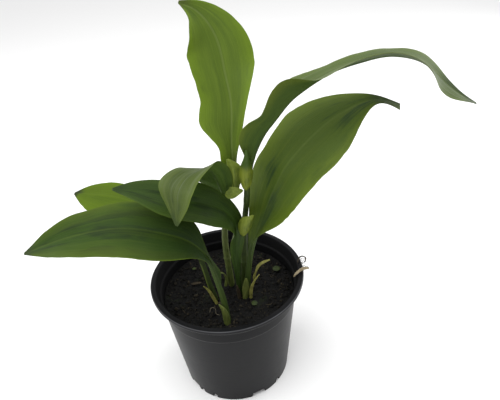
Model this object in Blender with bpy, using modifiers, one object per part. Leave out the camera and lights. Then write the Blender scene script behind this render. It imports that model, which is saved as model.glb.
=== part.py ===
"""Potted broad-leaved house plant in a plain plastic nursery pot.

Builds every separate piece as its own object, in metres with +Z up. The origin is on the
surface that the pot stands on, at the centre of the pot's base, and the tall leaf's upper
face looks towards -Y. Each leaf is one blade with its stalk: a grid that a rule maps onto a
curved midrib, given its thickness by a Solidify modifier.
"""
from math import cos, pi, radians, sin

import bmesh
import bpy
import numpy as np
from mathutils import Vector

MM = 0.001
COLLECTION_NAME = "potted_cast_iron_plant"

# Driving dimensions of the pot, in millimetres.
POT_HEIGHT = 105.4
RIM_RADIUS = 65.0
RIM_INNER_RADIUS = 60.4
SHOULDER_RADIUS = 57.3
SHOULDER_HEIGHT = 85.0
BASE_RADIUS = 47.7
WALL = 1.2
FOOT_HEIGHT = 5.0
FOOT_WIDTH = 3.2
DISC_RADIUS = 29.0
FLOOR_THICKNESS = 1.6
NOTCH_HALF_WIDTHS = (5.8, 1.8)
NOTCH_AZIMUTHS = ((-72, 2, 70, 142, 212), (-46, -120, -136, 30, 106, 177))
HOLE_RADIUS = 3.0
HOLE_RING_RADIUS = 37.5
HOLE_COUNT = 8
POT_STEPS = 48

# Driving dimensions of the soil, in millimetres.
SOIL_TOP = 87.6
SOIL_BOTTOM = 7.2
SOIL_GAP = 0.5
SOIL_LUMP = 0.55

# Leaf build: grid sizes, the blade's thickness at its middle and edge, the half-width up to
# which a leaf is all stalk, and how far from the midrib its fold reaches.
LEAF_STEPS_ALONG = 22
LEAF_STEPS_ACROSS = 6
SMALL_STEPS_ALONG = 8
SMALL_STEPS_ACROSS = 4
BLADE_THICKNESS = 0.7
EDGE_THICKNESS = 0.45
STALK_HALF_WIDTH = 3.0
FOLD_REACH = 0.08

GREEN = (0.075, 0.135, 0.030)
DARK_GREEN = (0.030, 0.070, 0.022)
BRIGHT_GREEN = (0.140, 0.230, 0.040)
PALE_GREEN = (0.250, 0.330, 0.110)
STRAW = (0.420, 0.360, 0.130)
BROWN = (0.090, 0.060, 0.030)
CREAM = (0.550, 0.480, 0.330)

# Leaves. Each row is a station along the midrib, from the stalk's foot to the tip:
# x, y, z of the midrib; half-width on the near and on the far side; the direction that the
# upper face looks; the fold at the midrib and the curl of the blade, in degrees.
# Lengths are in millimetres.
LEAVES = {
    "tall_leaf": (BRIGHT_GREEN, (
        (10, 3, 184, 2, 2, 0.3, -0.9, 0.3, 0, 0),
        (14, 4, 197, 3.5, 2.5, 0.2, -0.9, 0.3, 10, 5),
        (15, 6, 210, 10, 3.5, 0.1, -0.9, 0.4, 20, 10),
        (15.6, 9, 219, 10.5, 5.5, 0, -0.9, 0.4, 18, 5),
        (17, 13, 231, 21, 8.5, -0.2, -0.9, 0.4, 16, 0),
        (19, 20, 251, 22.5, 13.5, -0.2, -0.9, 0.4, 14, 0),
        (17, 28, 271, 23, 22, 0, -0.9, 0.4, 12, -5),
        (15, 34, 288, 23.5, 21.5, 0, -0.9, 0.4, 12, -8),
        (9, 38, 303, 18, 14, 0.1, -0.8, 0.5, 14, 0),
        (1, 40, 312, 12, 7, 0.2, -0.8, 0.5, 18, 10),
        (-9, 38, 318, 1, 1.5, 0.2, -0.8, 0.5, 20, 20),
    )),
    "arching_leaf": (DARK_GREEN, (
        (24.1, -12, 204, 2.2, 2.2, -0.6, -0.2, 0.6, 0, 0),
        (26.3, -13, 215, 2.6, 3, -0.6, 0.2, 0.6, 20, 10),
        (29.2, -14.5, 225, 5, 9, -0.7, 0.5, 0.45, 40, 12),
        (31.6, -15.5, 231, 8.5, 13, -0.7, 0.5, 0.5, 50, 10),
        (36.9, -17, 241, 8.5, 12, -0.65, 0.5, 0.6, 58, 6),
        (42, -18.5, 248, 9.5, 8.8, -0.62, 0.5, 0.63, 58, 4),
        (47, -20, 255, 10.5, 11.5, -0.6, 0.5, 0.65, 58, 2),
        (59, -23, 268, 14, 15.5, -0.5, 0.4, 0.75, 48, -4),
        (72, -25, 276, 12.5, 15, -0.35, 0.1, 1, 22, -4),
        (86, -27, 283, 9.5, 14, -0.3, 0.15, 1, 18, -6),
        (99, -28, 286, 12, 14, -0.2, 0.2, 1, 18, -8),
        (114, -29, 288, 15, 14, 0, 0.2, 1, 20, -8),
        (127, -30, 286, 14, 13, 0.3, 0.1, 1, 18, -8),
        (140, -31, 280, 9.5, 11, 0.5, -0.25, 0.75, 12, -6),
        (152, -32, 269, 4.5, 10, 0.45, -0.65, 0.55, 10, 0),
        (164, -33, 259, 1.8, 6.5, 0.4, -0.6, 0.6, 10, 0),
        (176, -34, 251, 1, 1, 0.5, -0.4, 0.7, 10, 0),
    )),
    "broad_leaf": (GREEN, (
        (14.6, -12, 89, 2.6, 2.6, -0.7, -0.2, 0.4, 0, 0),
        (19.3, -14, 127.5, 3, 3, -0.7, -0.2, 0.4, 0, 0),
        (24, -14.5, 147.5, 4.8, 5, -0.7, -0.3, 0.5, 20, 20),
        (32, -13, 167, 13.8, 16.5, -0.6, -0.4, 0.5, 15, 4),
        (41, -13, 189, 25, 27.5, -0.6, -0.4, 0.6, 12, -2),
        (53, -14, 212, 23, 30, -0.6, -0.5, 0.6, 11, -4),
        (68, -14, 229, 26, 31.5, -0.5, -0.5, 0.7, 10, -8),
        (83, -15, 242, 21, 28, -0.3, -0.5, 0.8, 10, -10),
        (99, -16, 251, 11.5, 15, -0.1, -0.5, 0.8, 12, -8),
        (115, -18, 255, 3, 4, 0, -0.5, 0.8, 14, 0),
        (130, -20, 250, 1, 5, 0, -0.5, 0.8, 12, 0),
    )),
    "low_leaf": (DARK_GREEN, (
        (-4, -38, 89, 2.5, 2.5, 0.3, 0.1, 1, 0, 0),
        (-6, -38, 120, 2.4, 2.4, 0.5, 0, 1, 0, 0),
        (-9, -37, 138, 3, 5, 0.5, -0.2, 0.9, 20, 20),
        (-14, -36, 158, 7, 3.5, 0.4, -0.3, 0.9, 18, 10),
        (-23, -35, 170, 16, 13.5, 0.2, -0.4, 0.9, 15, 0),
        (-43, -33, 180, 24, 18.5, 0, -0.4, 0.9, 12, -6),
        (-63, -30, 185, 24, 21, 0, -0.4, 0.9, 11, -8),
        (-85, -27, 185, 22, 20, -0.1, -0.4, 0.9, 11, -8),
        (-115, -22, 178, 15.5, 13.5, -0.2, -0.4, 0.8, 13, -5),
        (-145, -18, 167, 1, 1, -0.3, -0.4, 0.8, 13, 0),
    )),
    "back_leaf": (BRIGHT_GREEN, (
        (-12, -12, 89, 2.4, 2.4, 0.3, -0.3, 1, 0, 0),
        (-16, -9, 109, 2.1, 2.1, 0.4, -0.4, 1, 0, 0),
        (-19, -4, 125, 2.1, 2.1, 0.5, -0.4, 0.9, 0, 0),
        (-25, 3, 143, 7, 5, 0.4, -0.4, 0.9, 18, 12),
        (-41, 13, 162, 13, 10, 0.2, -0.3, 0.9, 14, 4),
        (-64, 27, 170, 16, 12, 0, -0.3, 0.9, 12, -4),
        (-91, 42, 172, 22, 13, -0.2, -0.3, 0.9, 12, -4),
        (-120, 55, 170, 1, 1, -0.3, -0.3, 0.9, 12, 0),
    )),
    "dark_leaf": (DARK_GREEN, (
        (8.6, -10, 89, 2.2, 2.2, 0.3, -0.6, 0.5, 0, 0),
        (8.8, -13, 120, 3.4, 2.8, 0.3, -0.8, 0.5, 8, 12),
        (9.5, -14, 142, 6.5, 5.5, 0.3, -0.8, 0.5, 20, 18),
        (11, -14, 163, 12, 8, 0.5, -0.5, 0.8, 18, 10),
        (2, -16, 182, 19, 11.5, 0.4, -0.4, 0.8, 14, 0),
        (-19, -20, 195, 19, 17.5, 0, -0.4, 0.9, 12, -6),
        (-39, -23, 204, 16.5, 13.5, 0, -0.4, 0.9, 12, -8),
        (-55, -25, 212, 9.5, 7.5, -0.1, -0.4, 0.9, 13, -5),
        (-69, -27, 217, 1, 1, -0.1, -0.4, 0.9, 13, 0),
    )),
    "drooping_leaf": (GREEN, (
        (6.5, -3.5, 185, 2, 2, 0.4, 0.9, 0.4, 0, 0),
        (3, -8, 202, 11, 18.5, -0.05, 0.8, 0.6, 15, 10),
        (-3, -17, 218, 10, 19, -0.15, 0.55, 0.75, 12, 4),
        (-11, -29, 224.5, 12, 13, -0.2, 0.1, 1, 10, -6),
        (-20, -39, 225.5, 13, 13, -0.4, -0.4, 0.8, 8, -10),
        (-26, -45, 220.5, 15, 15, -0.7, -0.7, 0.3, 10, -10),
        (-28, -47, 211, 12, 8.5, -0.7, -0.8, 0, 12, -5),
        (-29, -48, 195, 1, 1, -0.6, -0.8, 0, 12, 0),
    )),
}

# Bracts, bud sheaths and scales: small leaves with no stalk, in the same kind of stations.
# Their inner face looks at the stem that they clasp.
SMALL_LEAVES = {
    "clasping_bract": (PALE_GREEN, (
        (13.5, -3.5, 188.5, 4.5, 2.5, 0, 1, 0.1, 10, 40),
        (14.5, -4.5, 197, 6.5, 4, 0, 1, 0.1, 10, 40),
        (15, -4.5, 205.5, 7, 4.5, 0, 1, 0.1, 10, 35),
        (13, -3.5, 211, 4.5, 3.5, 0, 1, 0.1, 10, 30),
        (11, -2, 215.5, 0.8, 0.8, 0, 1, 0.1, 10, 20),
    )),
    "curled_bract": (GREEN, (
        (6.5, -11.5, 192.5, 1.5, 1.5, 0.1, -0.6, 0.8, 5, 20),
        (9, -12.3, 192, 4.5, 4, 0.1, -0.6, 0.8, 5, 20),
        (13, -12.3, 192.5, 4.8, 4.2, 0.1, -0.6, 0.8, 5, 20),
        (16.5, -12, 193, 3, 2.5, 0.1, -0.6, 0.8, 5, 20),
        (19.5, -11, 193, 0.8, 0.8, 0.1, -0.6, 0.8, 5, 20),
    )),
    "upper_bud": (PALE_GREEN, (
        (21.5, -17, 197, 2.5, 2.5, 0, 1, 0.1, 10, 40),
        (22, -18, 200, 5.2, 5.2, 0, 1, 0.1, 10, 60),
        (22.5, -19, 207.5, 7, 7, 0, 1, 0.1, 10, 60),
        (23, -19.4, 215, 5.8, 5.8, 0, 1, 0.1, 10, 60),
        (23.5, -19.8, 222, 3, 3, 0, 1, 0.1, 10, 50),
        (24, -19.2, 230, 0.7, 0.7, 0, 1, 0.1, 10, 30),
    )),
    "lower_bud": (PALE_GREEN, (
        (16, -18, 157, 3, 3, 0, 1, 0.1, 10, 40),
        (17, -20, 160.5, 5.6, 5.6, 0, 1, 0.1, 10, 55),
        (18.5, -21.5, 167, 6.8, 6.8, 0, 1, 0.1, 10, 55),
        (21.5, -21.5, 172, 5.4, 5.4, 0, 1, 0.1, 10, 50),
        (23.5, -20.8, 174, 2.8, 2.8, 0, 1, 0.1, 10, 40),
        (25, -20, 176, 0.7, 0.7, 0, 1, 0.1, 10, 30),
    )),
    "stem_sheath": (PALE_GREEN, (
        (12.6, -16, 89.2, 2.4, 2.4, 0.1, 1, 0, 10, 35),
        (13.4, -16.6, 95, 3.2, 3.2, 0.1, 1, 0, 10, 35),
        (14.3, -17.2, 105, 2.8, 2.8, 0.1, 1, 0, 10, 30),
        (15, -17.6, 113, 0.7, 0.7, 0.1, 1, 0, 10, 20),
    )),
    "upper_scale": (STRAW, (
        (21.9, -13, 105.5, 1.6, 1.6, -0.7, 0.4, 0.6, 10, 30),
        (23.6, -13.6, 114, 2.8, 2.8, -0.6, 0.3, 0.7, 10, 30),
        (28, -13, 121, 2.6, 2.6, -0.4, 0.2, 0.9, 10, 25),
        (36, -12, 124.3, 0.6, 0.6, 0, 0, 1, 10, 20),
    )),
    "lower_scale": (STRAW, (
        (17.8, -16.6, 90.7, 1.8, 1.8, -0.5, 0.6, 0.2, 10, 30),
        (19, -17.6, 100, 2.4, 2.4, -0.5, 0.6, 0.2, 10, 30),
        (21.8, -17.6, 108.5, 2, 2, -0.5, 0.6, 0.4, 10, 25),
        (26, -16.8, 114.5, 0.6, 0.6, -0.5, 0.4, 0.5, 10, 20),
    )),
    "pale_stem_scale": (PALE_GREEN, (
        (-2.6, 0, 92, 1.8, 1.8, 0.9, 0.5, 0.2, 10, 30),
        (-1.6, -0.6, 99.5, 2.2, 2.2, 0.9, 0.4, 0.2, 10, 30),
        (-2.8, -1.6, 107, 1.7, 1.7, 0.6, 0.3, 0.8, 10, 20),
        (-6.6, -3, 110.4, 0.6, 0.6, 0.2, 0.1, 1, 10, 10),
    )),
    "low_leaf_sheath": (PALE_GREEN, (
        (-4.6, -41.9, 89.2, 2.7, 2.7, 0, 1, 0.2, 10, 25),
        (-4.9, -42.3, 98, 2.9, 2.9, 0, 1, 0.2, 10, 25),
        (-6.4, -42.4, 106.5, 1.9, 1.9, 0, 1, 0.2, 10, 20),
        (-9, -42.3, 112.5, 0.5, 0.5, 0, 1, 0.2, 10, 10),
    )),
    "back_leaf_scale": (STRAW, (
        (-11.8, -16.4, 89.2, 1.8, 1.8, 0.4, 0.9, 0.2, 10, 30),
        (-14.6, -15.9, 96.5, 2, 2, 0.4, 0.9, 0.2, 10, 30),
        (-17.3, -15.2, 104, 1.4, 1.4, 0.4, 0.9, 0.2, 10, 20),
        (-20.2, -15, 108.4, 0.5, 0.5, 0.4, 0.9, 0.2, 10, 10),
    )),
    "old_sheath": (BROWN, (
        (8.2, -14.4, 89.2, 1.8, 1.8, 0, 1, 0, 10, 30),
        (7.9, -15.3, 95, 1.8, 1.8, 0, 1, 0, 10, 30),
        (7.3, -16.2, 101, 1.3, 1.3, 0, 1, 0, 10, 25),
        (6.8, -16.6, 106, 0.5, 0.5, 0, 1, 0, 10, 10),
    )),
}

# Stems: colour, then points along the axis with the radius there, in millimetres.
STEMS = {
    "main_stem": (GREEN, (
        (12.8, -3.6, 88.6, 2.6), (16, -5, 125, 2.6), (19.3, -3.4, 160, 2.3),
        (22.1, -8.6, 185, 2.3), (23.3, -12, 203.5, 2.0),
    )),
    "pale_stem": (PALE_GREEN, (
        (3, 3.5, 88.6, 2.9), (2.2, 3.5, 115, 2.7), (2.4, 3.5, 143, 2.5),
        (5.6, 3.5, 166, 2.3), (8.6, 3.4, 182, 2.0),
    )),
}

# Fine roots: colour, then points along the axis with the radius there, in millimetres.
ROOTS = {
    "rim_root": (CREAM, (
        (54.5, -15, 104.8, 0.6), (57.5, -13.5, 107.2, 1.0), (60.3, -11.8, 107.8, 1.1),
        (63.7, -9.9, 107.9, 1.1), (66.5, -9.4, 107.6, 1.0), (69.2, -9.2, 106.8, 0.5),
    )),
    "root_curl": (BROWN, (
        (61, -1, 107.5, 0.5), (62.6, 3.5, 107.6, 0.6), (65.3, 5.7, 108.2, 0.6),
        (67.8, 4, 108.8, 0.5), (68.3, 0.5, 108.8, 0.5), (66.2, -2.4, 108.2, 0.4),
    )),
    "root_hair": (CREAM, (
        (-18, -26, 90, 0.35), (-16, -24, 92, 0.35), (-13, -26, 92, 0.35), (-13, -29, 90.5, 0.35),
        (-10, -31, 90, 0.35),
    )),
}

# Bits lying on the soil: colour, centre, half-lengths along X, Y and Z, all in millimetres.
BITS = {
    "round_leaflet": (GREEN, (44.4, 14.6, 91.3), (3.4, 3.4, 1.0)),
    "small_leaflet": (GREEN, (19.5, -24, 91.2), (2.4, 2.8, 1.0)),
    "dry_bit": (BROWN, (-27.8, 10.8, 90.5), (4.6, 1.6, 0.7)),
    "moss_bit": (GREEN, (-29, 30.5, 90.6), (1.7, 1.6, 0.8)),
}
BIT_SEGMENTS = 10
BIT_RINGS = 6


def clear_scene():
    """Remove every object that is already in the scene."""
    for obj in list(bpy.data.objects):
        bpy.data.objects.remove(obj, do_unlink=True)


def make_collection(name):
    """Return a new collection linked to the scene."""
    collection = bpy.data.collections.new(name)
    bpy.context.scene.collection.children.link(collection)
    return collection


def make_material(name, colour, roughness, metallic=0.0):
    """Return a Principled material with a plain colour."""
    material = bpy.data.materials.new(name)
    material.use_nodes = True
    shader = material.node_tree.nodes["Principled BSDF"]
    shader.inputs["Base Color"].default_value = (*colour, 1.0)
    shader.inputs["Roughness"].default_value = roughness
    shader.inputs["Metallic"].default_value = metallic
    return material


def add_object(name, mesh, collection, material):
    """Link a mesh as an object with its material and return the object."""
    obj = bpy.data.objects.new(name, mesh)
    mesh.materials.append(material)
    collection.objects.link(obj)
    return obj


def mesh_from_bmesh(name, bm):
    """Return a mesh made from a bmesh, which is freed."""
    mesh = bpy.data.meshes.new(name)
    bm.to_mesh(mesh)
    bm.free()
    return mesh


def add_screw(obj, steps):
    """Turn the object's profile a full circle about Z."""
    screw = obj.modifiers.new("turn", "SCREW")
    screw.steps = steps
    screw.render_steps = steps
    screw.use_merge_vertices = True
    screw.merge_threshold = 0.00001
    screw.use_smooth_shade = True


def profile_mesh(name, points):
    """Return a mesh of edges through (radius, height) points given in millimetres."""
    vertices = [(radius * MM, 0.0, height * MM) for radius, height in points]
    edges = [(index, index + 1) for index in range(len(vertices) - 1)]
    mesh = bpy.data.meshes.new(name)
    mesh.from_pydata(vertices, edges, [])
    return mesh


def pot_profile():
    """Return the pot's section, from its inner floor over the lip to its underside."""
    floor_top = FLOOR_THICKNESS + FOOT_HEIGHT
    lip_under = POT_HEIGHT - 3.0
    step_height = POT_HEIGHT - 9.0
    return (
        (0.0, FLOOR_THICKNESS),
        (DISC_RADIUS, FLOOR_THICKNESS),
        (DISC_RADIUS + 1.5, floor_top),
        (BASE_RADIUS - 2.4, floor_top),
        (BASE_RADIUS - WALL + 0.6, floor_top + 1.8),
        (SHOULDER_RADIUS - WALL, SHOULDER_HEIGHT),
        (SHOULDER_RADIUS - WALL + 0.6, step_height - 1.0),
        (SHOULDER_RADIUS + 0.9, step_height),
        (RIM_INNER_RADIUS, POT_HEIGHT - 0.4),
        (RIM_INNER_RADIUS + 0.5, POT_HEIGHT),
        (RIM_RADIUS - 0.9, POT_HEIGHT),
        (RIM_RADIUS - 0.2, POT_HEIGHT - 0.6),
        (RIM_RADIUS, POT_HEIGHT - 1.6),
        (RIM_RADIUS - 0.5, lip_under + 0.2),
        (RIM_INNER_RADIUS + 1.3, lip_under),
        (SHOULDER_RADIUS + 2.2, step_height),
        (SHOULDER_RADIUS + 0.9, step_height - 1.0),
        (SHOULDER_RADIUS + 0.5, SHOULDER_HEIGHT + 0.8),
        (SHOULDER_RADIUS, SHOULDER_HEIGHT),
        (BASE_RADIUS, 0.0),
        (BASE_RADIUS - FOOT_WIDTH, 0.0),
        (BASE_RADIUS - FOOT_WIDTH - 0.4, FOOT_HEIGHT),
        (DISC_RADIUS + 0.9, FOOT_HEIGHT),
        (DISC_RADIUS - 0.6, 0.0),
        (0.0, 0.0),
    )


def pot_cutter():
    """Return a mesh with every notch in the foot ring and every drain hole, to be cut out."""
    bm = bmesh.new()
    notch_radius = (BASE_RADIUS - FOOT_WIDTH / 2) * MM
    for half_width, azimuths in zip(NOTCH_HALF_WIDTHS, NOTCH_AZIMUTHS):
        for azimuth in azimuths:
            box = bmesh.ops.create_cube(bm, size=1.0)["verts"]
            size = Vector((2.4 * FOOT_WIDTH * MM, 2 * half_width * MM, 2 * FOOT_HEIGHT * MM))
            bmesh.ops.scale(bm, vec=size, verts=box)
            bmesh.ops.translate(bm, vec=(notch_radius, 0.0, 0.0), verts=box)
            turn_about_z(bm, box, radians(azimuth))
    for index in range(HOLE_COUNT):
        hole = bmesh.ops.create_cone(
            bm, cap_ends=True, segments=12, radius1=HOLE_RADIUS * MM,
            radius2=HOLE_RADIUS * MM, depth=4 * FLOOR_THICKNESS * MM)["verts"]
        centre = (HOLE_RING_RADIUS * MM, 0.0, (FOOT_HEIGHT + FLOOR_THICKNESS / 2) * MM)
        bmesh.ops.translate(bm, vec=centre, verts=hole)
        turn_about_z(bm, hole, 2 * pi * (index + 0.5) / HOLE_COUNT)
    return mesh_from_bmesh("pot_cutter", bm)


def turn_about_z(bm, verts, angle):
    """Turn some vertices about the Z axis."""
    for vert in verts:
        x, y, z = vert.co
        vert.co = (x * cos(angle) - y * sin(angle), x * sin(angle) + y * cos(angle), z)


def build_pot(parts, cutters):
    """Build the pot: a turned shell with notched feet and drain holes in its floor."""
    material = make_material("pot_plastic", (0.028, 0.030, 0.034), 0.45)
    pot = add_object("nursery_pot", profile_mesh("nursery_pot", pot_profile()), parts, material)
    add_screw(pot, POT_STEPS)
    cutter = bpy.data.objects.new("pot_cutter", pot_cutter())
    cutters.objects.link(cutter)
    cutter.hide_render = True
    cutter.display_type = "WIRE"
    cut = pot.modifiers.new("notches_and_holes", "BOOLEAN")
    cut.operation = "DIFFERENCE"
    cut.solver = "EXACT"
    cut.object = cutter
    return pot


def soil_radius(height):
    """Return the soil's radius at a height, just inside the pot's tapering wall."""
    inner_base = BASE_RADIUS - WALL + 0.6
    inner_top = SHOULDER_RADIUS - WALL
    bottom = FOOT_HEIGHT + FLOOR_THICKNESS + 1.8
    share = (height - bottom) / (SHOULDER_HEIGHT - bottom)
    return inner_base + (inner_top - inner_base) * min(share, 1.0) - SOIL_GAP


def build_soil(parts):
    """Build the soil: a turned plug whose top is lumpy."""
    material = make_material("soil", (0.012, 0.010, 0.008), 0.95)
    rings = [(0.0, SOIL_BOTTOM), (42.0, SOIL_BOTTOM), (soil_radius(9.0), 9.6),
             (soil_radius(SOIL_TOP), SOIL_TOP - 1.2)]
    top_radii = np.linspace(soil_radius(SOIL_TOP) - 0.6, 0.0, 10)
    profile = [(0.0, SOIL_TOP)] + [(r, SOIL_TOP) for r in top_radii[::-1][1:]] + rings[::-1]
    soil = add_object("potting_soil", profile_mesh("potting_soil", profile), parts, material)
    add_screw(soil, 36)
    evaluated = soil.evaluated_get(bpy.context.evaluated_depsgraph_get())
    mesh = bpy.data.meshes.new_from_object(evaluated)
    soil.modifiers.clear()
    soil.data = mesh
    for vert in mesh.vertices:
        if vert.co.z > (SOIL_TOP - 0.1) * MM:
            x, y = vert.co.x / MM, vert.co.y / MM
            inner = 1.0 - (x * x + y * y) / soil_radius(SOIL_TOP) ** 2
            lump = sin(0.31 * x + 1.0) * cos(0.27 * y) + 0.6 * sin(0.17 * x - 0.23 * y)
            vert.co.z += SOIL_LUMP * lump * max(inner, 0.0) * MM - 0.2 * MM
    mesh.shade_smooth()
    return soil


def natural_spline(knots, values, wanted):
    """Interpolate each column of values at the wanted places with a natural cubic spline."""
    count = len(knots)
    gaps = np.diff(knots)
    system = np.zeros((count, count))
    right = np.zeros_like(values)
    system[0, 0] = system[-1, -1] = 1.0
    slopes = np.diff(values, axis=0) / gaps[:, None]
    for row in range(1, count - 1):
        system[row, row - 1:row + 2] = (
            gaps[row - 1], 2 * (gaps[row - 1] + gaps[row]), gaps[row])
        right[row] = 6 * (slopes[row] - slopes[row - 1])
    bends = np.linalg.solve(system, right)
    low = np.clip(np.searchsorted(knots, wanted, side="right") - 1, 0, count - 2)
    gap = gaps[low][:, None]
    high_share = (wanted - knots[low])[:, None] / gap
    low_share = 1 - high_share
    return (low_share * values[low] + high_share * values[low + 1]
            + ((low_share ** 3 - low_share) * bends[low]
               + (high_share ** 3 - high_share) * bends[low + 1]) * gap ** 2 / 6)


def unit_rows(vectors):
    """Return the vectors with each row scaled to length one."""
    return vectors / np.linalg.norm(vectors, axis=-1, keepdims=True)


def leaf_points(stations, steps_along, steps_across, has_stalk):
    """Return the leaf's mid-surface and half-thickness on a grid, in millimetres.

    The blade's section at each station bends by the fold angle close to the midrib and by
    the curl angle in proportion to the distance from it. The blade is thin. Over the first
    half of a leaf with a stalk, wherever it is narrow, its half-thickness follows a circle.
    """
    stations = np.array(stations, dtype=float)
    chord = np.linalg.norm(np.diff(stations[:, :3], axis=0), axis=1)
    knots = np.concatenate(([0.0], np.cumsum(chord)))
    rows = natural_spline(knots, stations, np.linspace(0.0, knots[-1], steps_along + 1))
    midrib = rows[:, :3]
    along = unit_rows(np.gradient(midrib, axis=0))
    facing = rows[:, 5:8]
    upward = unit_rows(facing - (facing * along).sum(1, keepdims=True) * along)
    sideways = np.cross(upward, along)

    across = np.linspace(-1.0, 1.0, steps_across + 1)
    fine = np.linspace(0.0, 1.0, 101)
    fold, curl = np.radians(rows[:, 8:9]), np.radians(rows[:, 9:10])
    angle = fold * np.tanh(fine / FOLD_REACH) + curl * fine
    out = np.concatenate((np.zeros((len(rows), 1)), np.cumsum(np.cos(angle), axis=1)), 1)
    rise = np.concatenate((np.zeros((len(rows), 1)), np.cumsum(np.sin(angle), axis=1)), 1)
    pick = np.rint(np.abs(across) * 100).astype(int)
    out = out[:, pick] / 100 * np.sign(across)
    rise = rise[:, pick] / 100

    half_width = np.where(across > 0, rows[:, 3:4], rows[:, 4:5]).clip(min=0.5)
    surface = (midrib[:, None, :]
               + sideways[:, None, :] * (out * half_width)[..., None]
               + upward[:, None, :] * (rise * half_width)[..., None])
    thickness = EDGE_THICKNESS + (BLADE_THICKNESS - EDGE_THICKNESS) * (1 - across ** 2)
    half_thickness = np.broadcast_to(thickness / 2, half_width.shape)
    if has_stalk:
        roundness = np.clip((2 * STALK_HALF_WIDTH - half_width) / STALK_HALF_WIDTH, 0.0, 1.0)
        roundness[steps_along // 2:] = 0.0
        stalk = half_width * np.sqrt(1 - across ** 2) * roundness
        half_thickness = np.maximum(stalk, half_thickness)
    return surface, half_thickness


def build_leaf(name, colour, stations, parts, steps_along, steps_across, has_stalk):
    """Build a leaf as a mapped grid that a Solidify modifier gives its thickness."""
    surface, half_thickness = leaf_points(stations, steps_along, steps_across, has_stalk)
    bm = bmesh.new()
    bmesh.ops.create_grid(bm, x_segments=steps_along, y_segments=steps_across, size=1.0)
    mesh = mesh_from_bmesh(name, bm)
    flat = np.empty(len(mesh.vertices) * 3)
    mesh.vertices.foreach_get("co", flat)
    flat = flat.reshape(-1, 3)
    row = np.rint((flat[:, 0] + 1) / 2 * steps_along).astype(int)
    column = np.rint((flat[:, 1] + 1) / 2 * steps_across).astype(int)
    mesh.vertices.foreach_set("co", (surface[row, column] * MM).ravel())
    mesh.update()
    material = make_material(name, colour, 0.4)
    leaf = add_object(name, mesh, parts, material)
    group = leaf.vertex_groups.new(name="thickness")
    greatest = half_thickness.max()
    for index, share in enumerate(half_thickness[row, column] / greatest):
        group.add([index], float(share), "REPLACE")
    solidify = leaf.modifiers.new("thickness", "SOLIDIFY")
    solidify.thickness = 2 * greatest * MM
    solidify.offset = 0.0
    solidify.vertex_group = group.name
    mesh.shade_smooth()
    return leaf


def build_tube(name, colour, points, parts):
    """Build a stem or root as a smooth curve with a round section and filled ends."""
    curve = bpy.data.curves.new(name, "CURVE")
    curve.dimensions = "3D"
    curve.bevel_depth = MM
    curve.bevel_resolution = 2
    curve.use_fill_caps = True
    curve.resolution_u = 4
    spline = curve.splines.new("BEZIER")
    spline.bezier_points.add(len(points) - 1)
    for knot, (x, y, z, radius) in zip(spline.bezier_points, points):
        knot.co = (x * MM, y * MM, z * MM)
        knot.radius = radius
        knot.handle_left_type = knot.handle_right_type = "AUTO"
    tube = bpy.data.objects.new(name, curve)
    curve.materials.append(make_material(name, colour, 0.5))
    parts.objects.link(tube)
    return tube


def build_bit(name, colour, centre, half_lengths, parts):
    """Build a small leaflet or flake lying on the soil as a flattened sphere."""
    bm = bmesh.new()
    bmesh.ops.create_uvsphere(bm, u_segments=BIT_SEGMENTS, v_segments=BIT_RINGS, radius=1.0)
    bmesh.ops.scale(bm, vec=Vector(half_lengths) * MM, verts=bm.verts)
    mesh = mesh_from_bmesh(name, bm)
    mesh.shade_smooth()
    bit = add_object(name, mesh, parts, make_material(name, colour, 0.6))
    bit.location = Vector(centre) * MM
    return bit


def main():
    """Build the potted plant."""
    clear_scene()
    parts = make_collection(COLLECTION_NAME)
    cutters = make_collection("cutters")
    build_pot(parts, cutters)
    build_soil(parts)
    for name, (colour, stations) in LEAVES.items():
        build_leaf(name, colour, stations, parts, LEAF_STEPS_ALONG, LEAF_STEPS_ACROSS, True)
    for name, (colour, stations) in SMALL_LEAVES.items():
        build_leaf(name, colour, stations, parts, SMALL_STEPS_ALONG, SMALL_STEPS_ACROSS, False)
    for name, (colour, points) in {**STEMS, **ROOTS}.items():
        build_tube(name, colour, points, parts)
    for name, (colour, centre, half_lengths) in BITS.items():
        build_bit(name, colour, centre, half_lengths, parts)


main()
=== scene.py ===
"""Finished surfaces of a potted broad-leaved house plant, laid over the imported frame.

Every shape is a surface of two parameters worked out with numpy: leaves are sections carried
along a curved midrib, stems and roots are tubes along a path, and the pot and the soil are
turned profiles. Lengths in the dataclass fields are in millimetres.
"""
import logging
import math
from collections.abc import Mapping, Sequence
from dataclasses import dataclass, field
from enum import Enum

import bpy
import numpy as np
from mathutils import Matrix, Vector


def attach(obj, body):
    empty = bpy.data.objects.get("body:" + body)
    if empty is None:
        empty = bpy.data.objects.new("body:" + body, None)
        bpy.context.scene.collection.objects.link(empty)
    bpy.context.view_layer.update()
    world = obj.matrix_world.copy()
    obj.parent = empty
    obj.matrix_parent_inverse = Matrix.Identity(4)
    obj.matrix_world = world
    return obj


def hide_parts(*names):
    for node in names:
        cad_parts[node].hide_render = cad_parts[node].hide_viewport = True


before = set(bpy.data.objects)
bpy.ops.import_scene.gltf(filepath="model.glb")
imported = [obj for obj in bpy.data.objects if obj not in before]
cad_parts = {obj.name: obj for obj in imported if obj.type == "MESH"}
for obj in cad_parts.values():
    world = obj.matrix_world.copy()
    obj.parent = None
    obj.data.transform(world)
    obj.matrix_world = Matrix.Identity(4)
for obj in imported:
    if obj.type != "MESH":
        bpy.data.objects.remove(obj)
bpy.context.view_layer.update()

LOG = logging.getLogger("potted_plant")
MM = 0.001
Array = np.ndarray
Colour = tuple[float, float, float]
Rows = tuple[tuple[float, ...], ...]

# Whole numbers that scramble a lattice corner's place and the pattern's seed into a hash.
LATTICE_PRIMES = np.array([374761393, 668265263, 1442695041])
SEED_PRIME = 1013904223
SCRAMBLE_PRIME = 1274126177
HASH_MASK = 0xFFFF

STRAND_SIDES = 5


# ------------------------------------------------------------------ number helpers


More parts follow.
